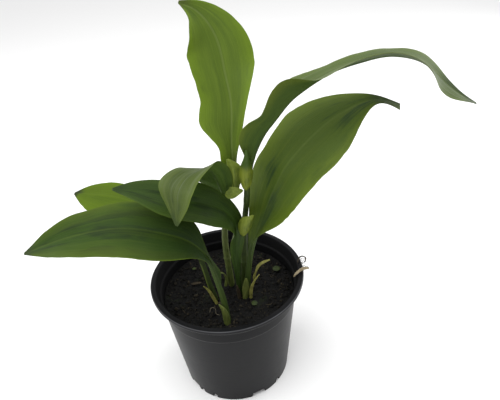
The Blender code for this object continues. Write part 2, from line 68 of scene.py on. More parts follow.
def natural_spline(knots: Array, values: Array, wanted: Array) -> Array:
    """Interpolate columns with a natural cubic spline.

    Each piece is the cubic whose second derivative runs in a straight line between the bends
    at its two knots, and the bends at the two ends are zero.

    Args:
        knots: Increasing parameter values, one for each row of values.
        values: Rows to interpolate.
        wanted: Parameter values to read.

    Returns:
        One interpolated row for each wanted value.
    """
    count = len(knots)
    gaps = np.diff(knots)
    slopes = np.diff(values, axis=0) / gaps[:, None]
    system = np.eye(count)
    inner = np.arange(1, count - 1)
    system[inner, inner - 1] = gaps[:-1]
    system[inner, inner] = 2.0 * (gaps[:-1] + gaps[1:])
    system[inner, inner + 1] = gaps[1:]
    right = np.zeros_like(values)
    right[1:-1] = 6.0 * np.diff(slopes, axis=0)
    bends = np.linalg.solve(system, right)
    low = np.clip(np.searchsorted(knots, wanted, side="right") - 1, 0, count - 2)
    gap = gaps[low][:, None]
    high = (wanted - knots[low])[:, None] / gap
    rest = 1.0 - high
    return (rest * values[low] + high * values[low + 1]
            + ((rest ** 3 - rest) * bends[low] + (high ** 3 - high) * bends[low + 1])
            * gap ** 2 / 6.0)


def unit_rows(vectors: Array) -> Array:
    """Return the vectors scaled to length one along their last axis."""
    return vectors / np.maximum(np.linalg.norm(vectors, axis=-1, keepdims=True), 1e-12)


def ease(values: Array, low: float, high: float) -> Array:
    """Return the smooth step 3t² - 2t³, where t runs from 0 at low to 1 at high."""
    share = np.clip((values - low) / (high - low), 0.0, 1.0)
    return share * share * (3.0 - 2.0 * share)


def lattice_noise(points: Array, cell: float, seed: int) -> Array:
    """Return smooth noise from -1 to 1 at each point.

    Each corner of a cubic lattice has a hashed value, and a point blends its eight corners
    with smooth-step weights.

    Args:
        points: Points along the last axis, in millimetres.
        cell: Size of a lattice cell in millimetres.
        seed: Chooses the pattern.

    Returns:
        One value for each point.
    """
    scaled = points / cell
    base = np.floor(scaled).astype(np.int64)
    part = scaled - base
    smooth = part * part * (3.0 - 2.0 * part)
    total = np.zeros(points.shape[:-1])
    for corner in range(8):
        offset = np.array([corner & 1, (corner >> 1) & 1, (corner >> 2) & 1])
        weight = np.where(offset, smooth, 1.0 - smooth).prod(axis=-1)
        mixed = (base + offset) @ LATTICE_PRIMES + seed * SEED_PRIME
        mixed = (mixed ^ (mixed >> 13)) * SCRAMBLE_PRIME
        total += weight * ((mixed ^ (mixed >> 16)) & HASH_MASK) / HASH_MASK
    return 2.0 * total - 1.0


def path_frames(points: Array) -> tuple[Array, Array]:
    """Work out two directions square to a path and to each other.

    The first is the cross product of the path's direction and a guide that no path here
    follows, and the second is square to both the first and the path.

    Args:
        points: Points along the path.

    Returns:
        Unit vectors sideways and upward at each point.
    """
    along = unit_rows(np.gradient(points, axis=0))
    guide = np.array([0.31, -0.93, 0.17])
    sideways = unit_rows(np.cross(along, guide))
    return sideways, np.cross(sideways, along)


# ------------------------------------------------------------------ meshes


@dataclass
class Sheet:
    """A closed surface given as rings of points.

    Attributes:
        points: Rings of points, shaped (rings, points in a ring, 3), in millimetres.
        marks: Values at each point that materials read, by attribute name.
        slots: Material slot of the faces that start at each point of a ring.
    """

    points: Array
    marks: dict[str, Array] = field(default_factory=dict)
    slots: Array | None = None

    def faces(self) -> tuple[Array, Array]:
        """Work out the quads between the rings and the fans that close both ends.

        Returns:
            The quads, and the triangles of the end fans, as rows of point numbers.
        """
        rings, count = self.points.shape[:2]
        index = np.arange(rings * count).reshape(rings, count)
        ahead = np.roll(index, -1, axis=1)
        quads = np.stack((index[:-1], ahead[:-1], ahead[1:], index[1:]), axis=-1)
        first, last = rings * count, rings * count + 1
        start = np.stack((ahead[0], index[0], np.full(count, first)), axis=-1)
        finish = np.stack((index[-1], ahead[-1], np.full(count, last)), axis=-1)
        return quads.reshape(-1, 4), np.concatenate((start, finish))

    def mesh(self, name: str) -> bpy.types.Mesh:
        """Make the mesh, with its faces turned outwards.

        Args:
            name: The mesh's name.

        Returns:
            The new mesh, in metres.
        """
        middles = self.points[[0, -1]].mean(axis=1)
        vertices = np.concatenate((self.points.reshape(-1, 3), middles)) * MM
        quads, fans = self.faces()
        corners = vertices[np.concatenate((quads[:, [0, 1, 2]], quads[:, [0, 2, 3]], fans))]
        volume = (corners[:, 0] * np.cross(corners[:, 1], corners[:, 2])).sum()
        if volume < 0.0:
            quads, fans = quads[:, ::-1], fans[:, ::-1]
        mesh = bpy.data.meshes.new(name)
        mesh.from_pydata(vertices.tolist(), [], quads.tolist() + fans.tolist())
        for mark, values in self.marks.items():
            ends = values[[0, -1]].mean(axis=1)
            layer = mesh.attributes.new(mark, "FLOAT", "POINT")
            layer.data.foreach_set("value", np.concatenate((values.ravel(), ends)).astype("f"))
        if self.slots is not None:
            chosen = np.tile(self.slots, self.points.shape[0] - 1)
            chosen = np.concatenate((chosen, np.zeros(len(fans), dtype=int)))
            mesh.polygons.foreach_set("material_index", chosen.astype("i"))
        mesh.shade_smooth()
        return mesh


def joined_mesh(name: str, vertices: Array, faces: Sequence[Array],
                marks: Mapping[str, Array]) -> bpy.types.Mesh:
    """Make one mesh of many small bodies.

    Args:
        name: The mesh's name.
        vertices: Points in millimetres, shaped (bodies, points, 3).
        faces: Blocks of corner numbers within one body.
        marks: One value for each body, by attribute name.

    Returns:
        The new mesh, in metres.
    """
    bodies, count = vertices.shape[:2]
    first = (np.arange(bodies) * count)[:, None, None]
    blocks = [(block[None] + first).reshape(-1, block.shape[1]).tolist() for block in faces]
    mesh = bpy.data.meshes.new(name)
    mesh.from_pydata((vertices.reshape(-1, 3) * MM).tolist(), [], sum(blocks, []))
    for mark, values in marks.items():
        layer = mesh.attributes.new(mark, "FLOAT", "POINT")
        layer.data.foreach_set("value", np.repeat(values, count).astype("f"))
    mesh.shade_smooth()
    return mesh


def strand_mesh(name: str, path: Array, angle: Array, radius: Array,
                tone: Array) -> bpy.types.Mesh:
    """Make thin five-sided strands: a ring round each path point, square to its heading.

    Args:
        name: The mesh's name.
        path: Points in millimetres, shaped (strands, steps, 3).
        angle: Heading of each strand at each step.
        radius: Radius of each strand at each step.
        tone: Tone of each strand, from 0 to 1.

    Returns:
        The new mesh, closed at both ends of each strand.
    """
    strands, steps = angle.shape
    turn = np.linspace(0.0, 2.0 * np.pi, STRAND_SIDES, endpoint=False)
    side_x = -np.sin(angle)[..., None] * np.cos(turn)
    side_y = np.cos(angle)[..., None] * np.cos(turn)
    rise = np.broadcast_to(np.sin(turn), side_x.shape)
    points = path[:, :, None] + np.stack((side_x, side_y, rise), axis=-1) * radius[..., None, None]
    index = np.arange(steps * len(turn)).reshape(steps, len(turn))
    ahead = np.roll(index, -1, axis=1)
    quads = np.stack((index[:-1], ahead[:-1], ahead[1:], index[1:]), axis=-1).reshape(-1, 4)
    caps = np.stack((index[0, ::-1], index[-1]))
    return joined_mesh(name, points.reshape(strands, -1, 3), (quads, caps), {"tone": tone})


def add_piece(mesh: bpy.types.Mesh, materials: Sequence[bpy.types.Material],
              nodes: Sequence[str]) -> bpy.types.Object:
    """Put a finished piece in the scene.

    Args:
        mesh: The piece's mesh, in place.
        materials: One material for each slot.
        nodes: The CAD nodes that the piece stands for.

    Returns:
        The new object.
    """
    piece = bpy.data.objects.new(mesh.name, mesh)
    for material in materials:
        mesh.materials.append(material)
    bpy.context.scene.collection.objects.link(piece)
    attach(piece, "root")
    if nodes:
        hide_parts(*nodes)
    LOG.info("%s: %d faces", piece.name, len(mesh.polygons))
    return piece


# ------------------------------------------------------------------ shader expressions


class Signal:
    """A shader socket that takes part in Python expressions."""

    def __init__(self, graph: "Graph", socket: bpy.types.NodeSocket) -> None:
        """Wrap a socket of a graph."""
        self.graph = graph
        self.socket = socket

    def __add__(self, other: "Signal | float") -> "Signal":
        """Return self + other."""
        return self.graph.maths("ADD", self, other)

    def __radd__(self, other: float) -> "Signal":
        """Return other + self."""
        return self.graph.maths("ADD", other, self)

    def __sub__(self, other: "Signal | float") -> "Signal":
        """Return self - other."""
        return self.graph.maths("SUBTRACT", self, other)

    def __rsub__(self, other: float) -> "Signal":
        """Return other - self."""
        return self.graph.maths("SUBTRACT", other, self)

    def __mul__(self, other: "Signal | float") -> "Signal":
        """Return self * other."""
        return self.graph.maths("MULTIPLY", self, other)

    def __rmul__(self, other: float) -> "Signal":
        """Return other * self."""
        return self.graph.maths("MULTIPLY", other, self)

    def __abs__(self) -> "Signal":
        """Return the absolute value."""
        return self.graph.maths("ABSOLUTE", self)

    def sine(self) -> "Signal":
        """Return the sine of self, in radians."""
        return self.graph.maths("SINE", self)

    def step(self, low: float, high: float) -> "Signal":
        """Make a smooth step from 0 to 1.

        Args:
            low: Where the step begins.
            high: Where it is complete.

        Returns:
            The step.
        """
        node = self.graph.node("ShaderNodeMapRange", {"interpolation_type": "SMOOTHSTEP"},
                               {"Value": self, "From Min": low, "From Max": high})
        return Signal(self.graph, node.outputs["Result"])


Value = Signal | float | Sequence[float]


class Graph:
    """Builds one material's node tree."""

    def __init__(self, name: str) -> None:
        """Start a material with a Principled shader.

        Args:
            name: The material's name.
        """
        self.material = bpy.data.materials.new(name)
        self.material.use_nodes = True
        self.tree = self.material.node_tree
        self.shader = self.tree.nodes["Principled BSDF"]

    def node(self, kind: str, settings: Mapping[str, object],
             inputs: Mapping[str | int, Value]) -> bpy.types.Node:
        """Add a node.

        Args:
            kind: The node's type.
            settings: Properties, set first.
            inputs: Values or signals for its sockets, by name or index.

        Returns:
            The new node.
        """
        node = self.tree.nodes.new(kind)
        for key, value in settings.items():
            setattr(node, key, value)
        for key, value in inputs.items():
            self.feed(node.inputs[key], value)
        return node

    def feed(self, socket: bpy.types.NodeSocket, value: Value) -> None:
        """Set a socket to a value, or link a signal to it.

        Args:
            socket: The input to feed.
            value: A number, a colour, a vector or a signal.
        """
        if isinstance(value, Signal):
            self.tree.links.new(value.socket, socket)
        elif socket.type == "RGBA" and len(value) == 3:
            socket.default_value = (*value, 1.0)
        else:
            socket.default_value = value

    def maths(self, operation: str, *values: Signal | float) -> Signal:
        """Return a Math node's result."""
        node = self.node("ShaderNodeMath", {"operation": operation}, dict(enumerate(values)))
        return Signal(self, node.outputs[0])

    def mark(self, name: str) -> Signal:
        """Return a value that the mesh carries."""
        node = self.node("ShaderNodeAttribute", {"attribute_name": name}, {})
        return Signal(self, node.outputs["Fac"])

    def place(self, scale: Sequence[float] = (1.0, 1.0, 1.0)) -> Signal:
        """Read the Object coordinates.

        Args:
            scale: Factor along each axis.

        Returns:
            The scaled place.
        """
        where = self.node("ShaderNodeTexCoord", {}, {})
        node = self.node("ShaderNodeMapping", {},
                         {"Vector": Signal(self, where.outputs["Object"]), "Scale": scale})
        return Signal(self, node.outputs["Vector"])

    def vector(self, x: Value, y: Value, z: Value) -> Signal:
        """Return a vector made of three values."""
        node = self.node("ShaderNodeCombineXYZ", {}, {"X": x, "Y": y, "Z": z})
        return Signal(self, node.outputs["Vector"])

    def noise(self, where: Signal, scale: float, detail: float = 3.0,
              roughness: float = 0.55) -> Signal:
        """Make soft noise.

        Args:
            where: The place.
            scale: How fine the noise is.
            detail: How many finer layers it has.
            roughness: How strong each finer layer is.

        Returns:
            Noise from 0 to 1.
        """
        node = self.node("ShaderNodeTexNoise", {},
                         {"Vector": where, "Scale": scale, "Detail": detail,
                          "Roughness": roughness})
        return Signal(self, node.outputs["Fac"])

    def cells(self, where: Signal, scale: float) -> Signal:
        """Return the distance to the nearest of a scatter of points."""
        node = self.node("ShaderNodeTexVoronoi", {}, {"Vector": where, "Scale": scale})
        return Signal(self, node.outputs["Distance"])

    def length(self, where: Signal) -> Signal:
        """Return a vector's length."""
        node = self.node("ShaderNodeVectorMath", {"operation": "LENGTH"}, {0: where})
        return Signal(self, node.outputs["Value"])

    def height(self, where: Signal) -> Signal:
        """Return a vector's Z."""
        node = self.node("ShaderNodeSeparateXYZ", {}, {"Vector": where})
        return Signal(self, node.outputs["Z"])

    def mix(self, share: Value, first: Value, second: Value) -> Signal:
        """Return a colour between two others."""
        node = self.node("ShaderNodeMix", {"data_type": "RGBA"}, {0: share, 6: first, 7: second})
        return Signal(self, node.outputs[2])

    def finish(self, colour: Value, roughness: Value, height: Signal | None = None,
               relief: float = 0.5, depth: float = 0.0004,
               constants: Mapping[str, float] | None = None) -> bpy.types.Material:
        """Feed the shader and return the material.

        Args:
            colour: Base colour.
            roughness: Roughness.
            height: Relief from 0 to 1.
            relief: Strength of the relief.
            depth: Depth of the relief in metres.
            constants: Values for other shader sockets.

        Returns:
            The finished material.
        """
        self.feed(self.shader.inputs["Base Color"], colour)
        self.feed(self.shader.inputs["Roughness"], roughness)
        for key, value in (constants or {}).items():
            self.shader.inputs[key].default_value = value
        if height is not None:
            bump = self.node("ShaderNodeBump", {},
                             {"Height": height, "Strength": relief, "Distance": depth})
            self.feed(self.shader.inputs["Normal"], Signal(self, bump.outputs["Normal"]))
        return self.material


# ------------------------------------------------------------------ finishes


class Face(Enum):
    """The two faces of a leaf, by material slot."""

    UPPER = 0
    LOWER = 1


# How many lanes of each pattern lie across half a leaf, from the widest to the finest.
CLOUD_LANES = 1.6
BROAD_LANES = 5.0
BAND_LANES = 9.0
VEIN_LANES = 27.0
FINE_LANES = 30.0
FIBRE_LANES = 95.0


@dataclass(frozen=True)
class LeafFinish:
    """The skin of a leaf's upper or lower face.

    Attributes:
        body: Main colour.
        shade: Colour of the darker patches, and of the painted shadow towards the stalk.
        light: Colour of the paler streaks between the veins.
        rib: Colour of the midrib.
        margin: Colour of the rim.
        stalk: Colour of the stalk.
        patches: How strongly the darker patches show, 0 to 1.
        streaks: How strongly the pale streaks show, 0 to 1.
        edge: How far the rim's colour spreads into the blade, 0 to 1.
        gloss: Roughness between the streaks.
        sheen_share: How much a painted greyish sheen, the sky's reflection, covers the colour in
            bands, 0 to 1.
        rib_share: How strongly the midrib's colour shows, 0 to 1.
        mirror: Specular level of the skin.
        base_shadow_and_tone: Painted shadow, partly own colour, darkening the blade towards its
            stalk, 0 to 1.
        sheen: Colour of the painted greyish sheen, a reflection of the sky.
    """

    body: Colour
    shade: Colour
    light: Colour
    rib: Colour
    margin: Colour
    stalk: Colour
    patches: float = 0.6
    streaks: float = 0.45
    edge: float = 0.5
    gloss: float = 0.46
    sheen_share: float = 0.0
    rib_share: float = 0.5
    mirror: float = 0.22
    base_shadow_and_tone: float = 0.0
    sheen: Colour = (0.150, 0.175, 0.110)

    def material(self, name: str, seed: float) -> bpy.types.Material:
        """Make the material.

        Args:
            name: The material's name.
            seed: Moves the pattern, so that no two leaves are alike.

        Returns:
            The finished material.
        """
        graph = Graph(name)
        along, across = graph.mark("along"), graph.mark("across")
        offset, blade = abs(graph.mark("offset")), graph.mark("blade")
        where = graph.place()
        drift = graph.noise(where, 45.0, 2.0) * 0.05
        lane = across + drift
        broad = graph.noise(graph.vector(lane * BROAD_LANES, along * 1.6, seed), 1.0, 4.0)
        fine = graph.noise(graph.vector(lane * FINE_LANES, along * 1.8, seed + 3.0), 1.0, 3.0)
        hair = graph.noise(graph.vector(lane * FIBRE_LANES, along * 3.0, seed + 7.0), 1.0, 2.0)
        veins = 1.0 - abs((lane * VEIN_LANES).sine()).step(0.0, 0.35)
        cloud = graph.noise(graph.vector(lane * CLOUD_LANES, along * 3.2, seed + 11.0), 1.6, 3.0)
        patch = cloud.step(0.47, 0.66) * self.patches
        colour = graph.mix(patch, self.body, self.shade)
        colour = graph.mix(broad.step(0.48, 0.72) * self.streaks, colour, self.light)
        colour = graph.mix(fine.step(0.52, 0.75) * (0.5 * self.streaks), colour, self.light)
        colour = graph.mix(hair.step(0.5, 0.8) * 0.22, colour, self.shade)
        colour = graph.mix(veins * 0.2, colour, self.light)
        glow = abs(lane).step(0.35, 1.0) * cloud.step(0.25, 0.55) * self.edge
        colour = graph.mix(glow, colour, self.margin)
        # Painted sheen: greyish bands that stand in for the sky's reflection on the leaf's face.
        bands = graph.noise(graph.vector(lane * BAND_LANES, along * 1.2, seed + 17.0), 1.0, 2.0)
        colour = graph.mix(bands.step(0.5, 0.7) * self.sheen_share, colour, self.sheen)
        # Painted shadow from the leaves above, mixed with the blade's own darker colour, towards the
        # stalk.
        colour = graph.mix((1.0 - along.step(0.38, 0.66)) * self.base_shadow_and_tone, colour, self.shade)
        rib = (1.0 - offset.step(0.25, 1.15)) * (broad.step(0.3, 0.6) * 0.5 + 0.5)
        colour = graph.mix(rib * self.rib_share, colour, self.rib)
        rim = abs(across).step(0.93, 1.0) * (0.5 + 0.5 * fine.step(0.35, 0.6))
        colour = graph.mix(rim, colour, self.margin)
        colour = graph.mix(blade, self.stalk, colour)
        roughness = self.gloss + broad * 0.12 + hair * 0.08
        height = fine * 0.45 + hair * 0.25 + (1.0 - veins) * 0.25 + broad * 0.5
        return graph.finish(colour, roughness, height, 0.42, 0.0005,
                            {"Specular IOR Level": self.mirror})


@dataclass(frozen=True)
class SkinFinish:
    """The skin of a stem, sheath, scale, root or small leaflet.

    Attributes:
        body: Main colour.
        shade: Colour of the darker streaks.
        light: Colour of the paler streaks.
        gloss: Roughness.
        grain: Streaks per metre round the piece.
        tip: Colour of a leafy piece's outer half, if it differs.
        mirror: Specular level.
    """

    body: Colour
    shade: Colour
    light: Colour
    gloss: float = 0.45
    grain: float = 900.0
    tip: Colour | None = None
    mirror: float = 0.25

    def material(self, name: str, seed: float) -> bpy.types.Material:
        """Make the material.

        Args:
            name: The material's name.
            seed: Moves the pattern, so that no two pieces are alike.

        Returns:
            The finished material.
        """
        graph = Graph(name)
        where = graph.place((1.0, 1.0, 0.12))
        streak = graph.noise(where, self.grain + seed, 3.0)
        cloud = graph.noise(graph.place(), 160.0 + seed, 3.0)
        colour = graph.mix(cloud.step(0.4, 0.65) * 0.7, self.body, self.shade)
        colour = graph.mix(streak.step(0.45, 0.7) * 0.55, colour, self.light)
        if self.tip:
            colour = graph.mix(graph.mark("along").step(0.42, 0.68), colour, self.tip)
        return graph.finish(colour, self.gloss + streak * 0.2, streak + cloud * 0.6, 0.4, 0.0003,
                            {"Specular IOR Level": self.mirror})


@dataclass(frozen=True)
class PotFinish:
    """Dark moulded satin plastic with light handling marks, a painted lip highlight and inner shade.

    Radii and heights are in metres, and a pair of them holds where a change begins and where
    it is complete.

    Attributes:
        body: Main colour.
        worn: Colour of scuffed patches and fine scratches.
        dust: Colour of specks of dust.
        painted_highlight: Colour of the painted highlight line round the lip.
        inner: Colour of the painted shade on the inner wall.
        mirror: Specular level.
        line_start: Radii where the painted highlight line appears.
        line_end: Radii where it fades.
        line_rise: Heights where it appears.
        neck_radius: Radius between the two faces of the wall, below its step.
        step_rise: Heights where the wall steps outwards.
        step_width: How far it steps.
        flare_rise: Heights where the lip's flare begins.
        flare: Widening of the lip for each metre of height.
        soil_rise: Heights where the inner wall leaves the soil.
        blur: Half-width of the change from the inner wall to the outside.
    """

    body: Colour = (0.0042, 0.0043, 0.0050)
    worn: Colour = (0.0105, 0.0106, 0.0116)
    dust: Colour = (0.0240, 0.0215, 0.0175)
    painted_highlight: Colour = (0.1100, 0.1120, 0.1200)
    inner: Colour = (0.0026, 0.0027, 0.0030)
    mirror: float = 0.12
    line_start: tuple[float, float] = (0.0640, 0.0644)
    line_end: tuple[float, float] = (0.0646, 0.0649)
    line_rise: tuple[float, float] = (0.1036, 0.1042)
    neck_radius: float = 0.0570
    step_rise: tuple[float, float] = (0.0950, 0.0966)
    step_width: float = 0.0018
    flare_rise: tuple[float, float] = (0.0964, 0.0966)
    flare: float = 0.22
    soil_rise: tuple[float, float] = (0.0858, 0.0862)
    blur: float = 0.0001

    def highlight_line(self, radius: Signal, above: Signal) -> Signal:
        """Mark the painted highlight line round the lip: a narrow band of radii, near the top only.
        """
        band = radius.step(*self.line_start) * (1.0 - radius.step(*self.line_end))
        return band * above.step(*self.line_rise)

    def shaded_inner_wall(self, radius: Signal, above: Signal) -> Signal:
        """Mark the inner wall: every radius short of a bound that follows the wall's middle.

        The bound is the neck's radius, plus the step's width above the step, plus a straight
        flare above that.

        Args:
            radius: Distance from the pot's axis.
            above: Height.

        Returns:
            1 on the inner wall above the soil, where its shade is painted, 0 elsewhere.
        """
        flared = (above - self.flare_rise[0]) * above.step(*self.flare_rise) * self.flare
        bound = self.neck_radius + above.step(*self.step_rise) * self.step_width + flared
        inner_shade = 1.0 - (radius - bound).step(-self.blur, self.blur)
        return inner_shade * above.step(*self.soil_rise)

    def material(self, name: str) -> bpy.types.Material:
        """Make the material.

        Args:
            name: The material's name.

        Returns:
            The finished material.
        """
        graph = Graph(name)
        where = graph.place()
        cloud = graph.noise(where, 24.0, 4.0)
        rub_and_glint = graph.noise(graph.place((1.0, 1.0, 9.0)), 60.0, 3.0)
        speck = graph.noise(where, 620.0, 2.0)
        scratch = graph.noise(graph.place((0.35, 0.35, 14.0)), 140.0, 3.0)
        colour = graph.mix(cloud.step(0.4, 0.7) * 0.25, self.body, self.worn)
        colour = graph.mix(scratch.step(0.66, 0.74) * 0.35, colour, self.worn)
        colour = graph.mix(speck.step(0.70, 0.76) * 0.5, colour, self.dust)
        radius, above = graph.length(graph.place((1.0, 1.0, 0.0))), graph.height(where)
        # Painted highlight: a bright line along the lip's rounded outer edge, where the light
        # glints.
        line = self.highlight_line(radius, above)
        colour = graph.mix(line * (0.2 + rub_and_glint * 0.7), colour, self.painted_highlight)
        # Painted shade: the inner wall above the soil is drawn darker, as the pot's own wall keeps
        # the light off.
        inner_shade = self.shaded_inner_wall(radius, above)
        colour = graph.mix(inner_shade, colour, self.inner)
        roughness = 0.26 + cloud * 0.14 + rub_and_glint * 0.08 + inner_shade * 0.35
        height = rub_and_glint * 0.6 + speck * 0.3 + cloud * 0.4
        return graph.finish(colour, roughness, height, 0.18, 0.0003,
                            {"Specular IOR Level": self.mirror})


@dataclass(frozen=True)
class SoilFinish:
    """Damp dark potting mix.

    Attributes:
        body: Colour of the hollows.
        crumb: Colour of the grains.
        pale: Colour of the flecks.
        moss: Colour of the greenish patches.
        mirror: Specular level.
    """

    body: Colour = (0.0042, 0.0044, 0.0046)
    crumb: Colour = (0.0124, 0.0114, 0.0098)
    pale: Colour = (0.0440, 0.0400, 0.0280)
    moss: Colour = (0.0165, 0.0235, 0.0080)
    mirror: float = 0.15

    def material(self, name: str) -> bpy.types.Material:
        """Make the material.

        Args:
            name: The material's name.

        Returns:
            The finished material.
        """
        graph = Graph(name)
        where = graph.place()
        grain = graph.noise(where, 700.0, 5.0, 0.7)
        lumps = graph.cells(where, 420.0)
        cloud = graph.noise(where, 70.0, 3.0)
        fleck = graph.noise(where, 1300.0, 2.0)
        colour = graph.mix(grain.step(0.42, 0.7), self.body, self.crumb)
        colour = graph.mix(fleck.step(0.68, 0.76) * 0.8, colour, self.pale)
        colour = graph.mix(cloud.step(0.58, 0.72) * 0.5, colour, self.moss)
        return graph.finish(colour, 0.72 + grain * 0.25, grain + lumps * 0.8, 0.9, 0.0009,
                            {"Specular IOR Level": self.mirror})


@dataclass(frozen=True)
class CrumbFinish:
    """Loose crumbs, bark and fibres, whose tone the mark "tone" sets from 0 to 1.

    Attributes:
        dark: Colour at tone 0.
        pale: Colour at tone 1.
        mirror: Specular level.
    """

    dark: Colour = (0.0046, 0.0045, 0.0042)
    pale: Colour = (0.0760, 0.0620, 0.0390)
    mirror: float = 0.15

    def material(self, name: str) -> bpy.types.Material:
        """Make the material.

        Args:
            name: The material's name.

        Returns:
            The finished material.
        """
        graph = Graph(name)
        tone = graph.mark("tone")
        grain = graph.noise(graph.place(), 900.0, 3.0)
        colour = graph.mix(tone * (0.5 + grain * 0.8), self.dark, self.pale)
        return graph.finish(colour, 0.85, grain, 0.6, 0.0004,
                            {"Specular IOR Level": self.mirror})


BRIGHT_UPPER = LeafFinish(
    body=(0.075, 0.124, 0.008), shade=(0.042, 0.078, 0.007), light=(0.124, 0.188, 0.015),
    rib=(0.150, 0.200, 0.050), margin=(0.128, 0.205, 0.008), stalk=(0.070, 0.100, 0.012),
    patches=0.5, streaks=0.5, edge=0.8)
BACK_UPPER = LeafFinish(
    body=(0.070, 0.116, 0.005), shade=(0.044, 0.080, 0.005), light=(0.096, 0.150, 0.008),
    rib=(0.090, 0.140, 0.014), margin=(0.100, 0.165, 0.005), stalk=(0.028, 0.042, 0.011),
    patches=0.4, streaks=0.5, edge=0.5, rib_share=0.3, mirror=0.10)
BRIGHT_LOWER = LeafFinish(
    body=(0.062, 0.098, 0.010), shade=(0.042, 0.070, 0.008), light=(0.090, 0.130, 0.018),
    rib=(0.110, 0.150, 0.030), margin=(0.110, 0.150, 0.015), stalk=(0.065, 0.092, 0.012),
    patches=0.3, streaks=0.35, edge=0.4, gloss=0.55)
GREEN_UPPER = LeafFinish(
    body=(0.046, 0.080, 0.005), shade=(0.015, 0.038, 0.006), light=(0.074, 0.108, 0.008),
    rib=(0.076, 0.116, 0.018), margin=(0.096, 0.142, 0.006), stalk=(0.028, 0.048, 0.008),
    patches=0.95, streaks=0.6, edge=0.7)
GREEN_LOWER = LeafFinish(
    body=(0.026, 0.050, 0.007), shade=(0.022, 0.044, 0.008), light=(0.056, 0.088, 0.016),
    rib=(0.070, 0.100, 0.020), margin=(0.085, 0.120, 0.014), stalk=(0.036, 0.060, 0.009),
    patches=0.5, streaks=0.45, edge=0.4, gloss=0.55)
DARK_UPPER = LeafFinish(
    body=(0.024, 0.054, 0.003), shade=(0.010, 0.023, 0.004), light=(0.046, 0.080, 0.006),
    rib=(0.056, 0.090, 0.010), margin=(0.072, 0.112, 0.006), stalk=(0.026, 0.044, 0.008),
    patches=0.85, streaks=0.5, edge=0.6, base_shadow_and_tone=0.75, mirror=0.13)
GLOSSY_UPPER = LeafFinish(
    body=(0.026, 0.054, 0.007), shade=(0.010, 0.023, 0.005), light=(0.048, 0.086, 0.010),
    rib=(0.036, 0.070, 0.010), margin=(0.052, 0.092, 0.008), stalk=(0.022, 0.044, 0.007),
    patches=0.75, streaks=0.5, edge=0.4, gloss=0.40, mirror=0.18, rib_share=0.35)
ARCH_UPPER = LeafFinish(
    body=(0.066, 0.102, 0.020), shade=(0.036, 0.062, 0.012), light=(0.125, 0.160, 0.050),
    rib=(0.100, 0.135, 0.034), margin=(0.100, 0.146, 0.016), stalk=(0.032, 0.056, 0.009),
    patches=0.5, streaks=0.65, edge=0.4, sheen_share=0.5, mirror=0.3)
ARCH_LOWER = LeafFinish(
    body=(0.036, 0.066, 0.008), shade=(0.020, 0.043, 0.007), light=(0.064, 0.096, 0.010),
    rib=(0.040, 0.066, 0.012), margin=(0.092, 0.125, 0.012), stalk=(0.032, 0.056, 0.009),
    patches=0.6, streaks=0.35, edge=0.75, gloss=0.55, mirror=0.14)
DROOP_LOWER = LeafFinish(
    body=(0.048, 0.090, 0.013), shade=(0.027, 0.056, 0.009), light=(0.074, 0.120, 0.018),
    rib=(0.034, 0.056, 0.010), margin=(0.070, 0.105, 0.012), stalk=(0.030, 0.052, 0.008),
    patches=0.6, streaks=0.4, edge=0.25, gloss=0.55, mirror=0.12)
SHEEN_UPPER = LeafFinish(
    body=(0.046, 0.071, 0.009), shade=(0.025, 0.045, 0.007), light=(0.074, 0.100, 0.018),
    rib=(0.080, 0.108, 0.024), margin=(0.096, 0.140, 0.012), stalk=(0.034, 0.056, 0.010),
    patches=0.6, streaks=0.5, edge=0.4, sheen_share=0.3, rib_share=0.3)

GREEN_STEM = SkinFinish((0.034, 0.054, 0.010), (0.020, 0.034, 0.008), (0.062, 0.088, 0.018))
PALE_STEM = SkinFinish((0.084, 0.108, 0.026), (0.052, 0.074, 0.018), (0.145, 0.172, 0.052))
PALE_SHEATH = SkinFinish((0.112, 0.140, 0.030), (0.060, 0.080, 0.018), (0.180, 0.200, 0.056))
SHOOT_BUD = SkinFinish((0.140, 0.176, 0.014), (0.060, 0.092, 0.010), (0.230, 0.260, 0.036),
                       tip=(0.034, 0.068, 0.006))
BUD_SKIN = SkinFinish((0.134, 0.172, 0.017), (0.056, 0.086, 0.010), (0.215, 0.250, 0.042))
BRACT_SKIN = SkinFinish((0.145, 0.195, 0.024), (0.080, 0.120, 0.014), (0.225, 0.275, 0.046))
DRY_SCALE = SkinFinish((0.225, 0.220, 0.050), (0.100, 0.092, 0.024), (0.360, 0.340, 0.100), 0.6)
OLD_SHEATH = SkinFinish((0.035, 0.026, 0.014), (0.014, 0.010, 0.006), (0.085, 0.064, 0.034), 0.7)
ROOT_SKIN = SkinFinish((0.330, 0.270, 0.165), (0.160, 0.115, 0.060), (0.480, 0.420, 0.300), 0.6)
HAIR_SKIN = SkinFinish((0.130, 0.110, 0.075), (0.070, 0.055, 0.035), (0.220, 0.195, 0.140), 0.6)
GREEN_BITS = SkinFinish((0.034, 0.052, 0.012), (0.016, 0.026, 0.007), (0.064, 0.086, 0.022), 0.55)


# ------------------------------------------------------------------ the pot and the soil


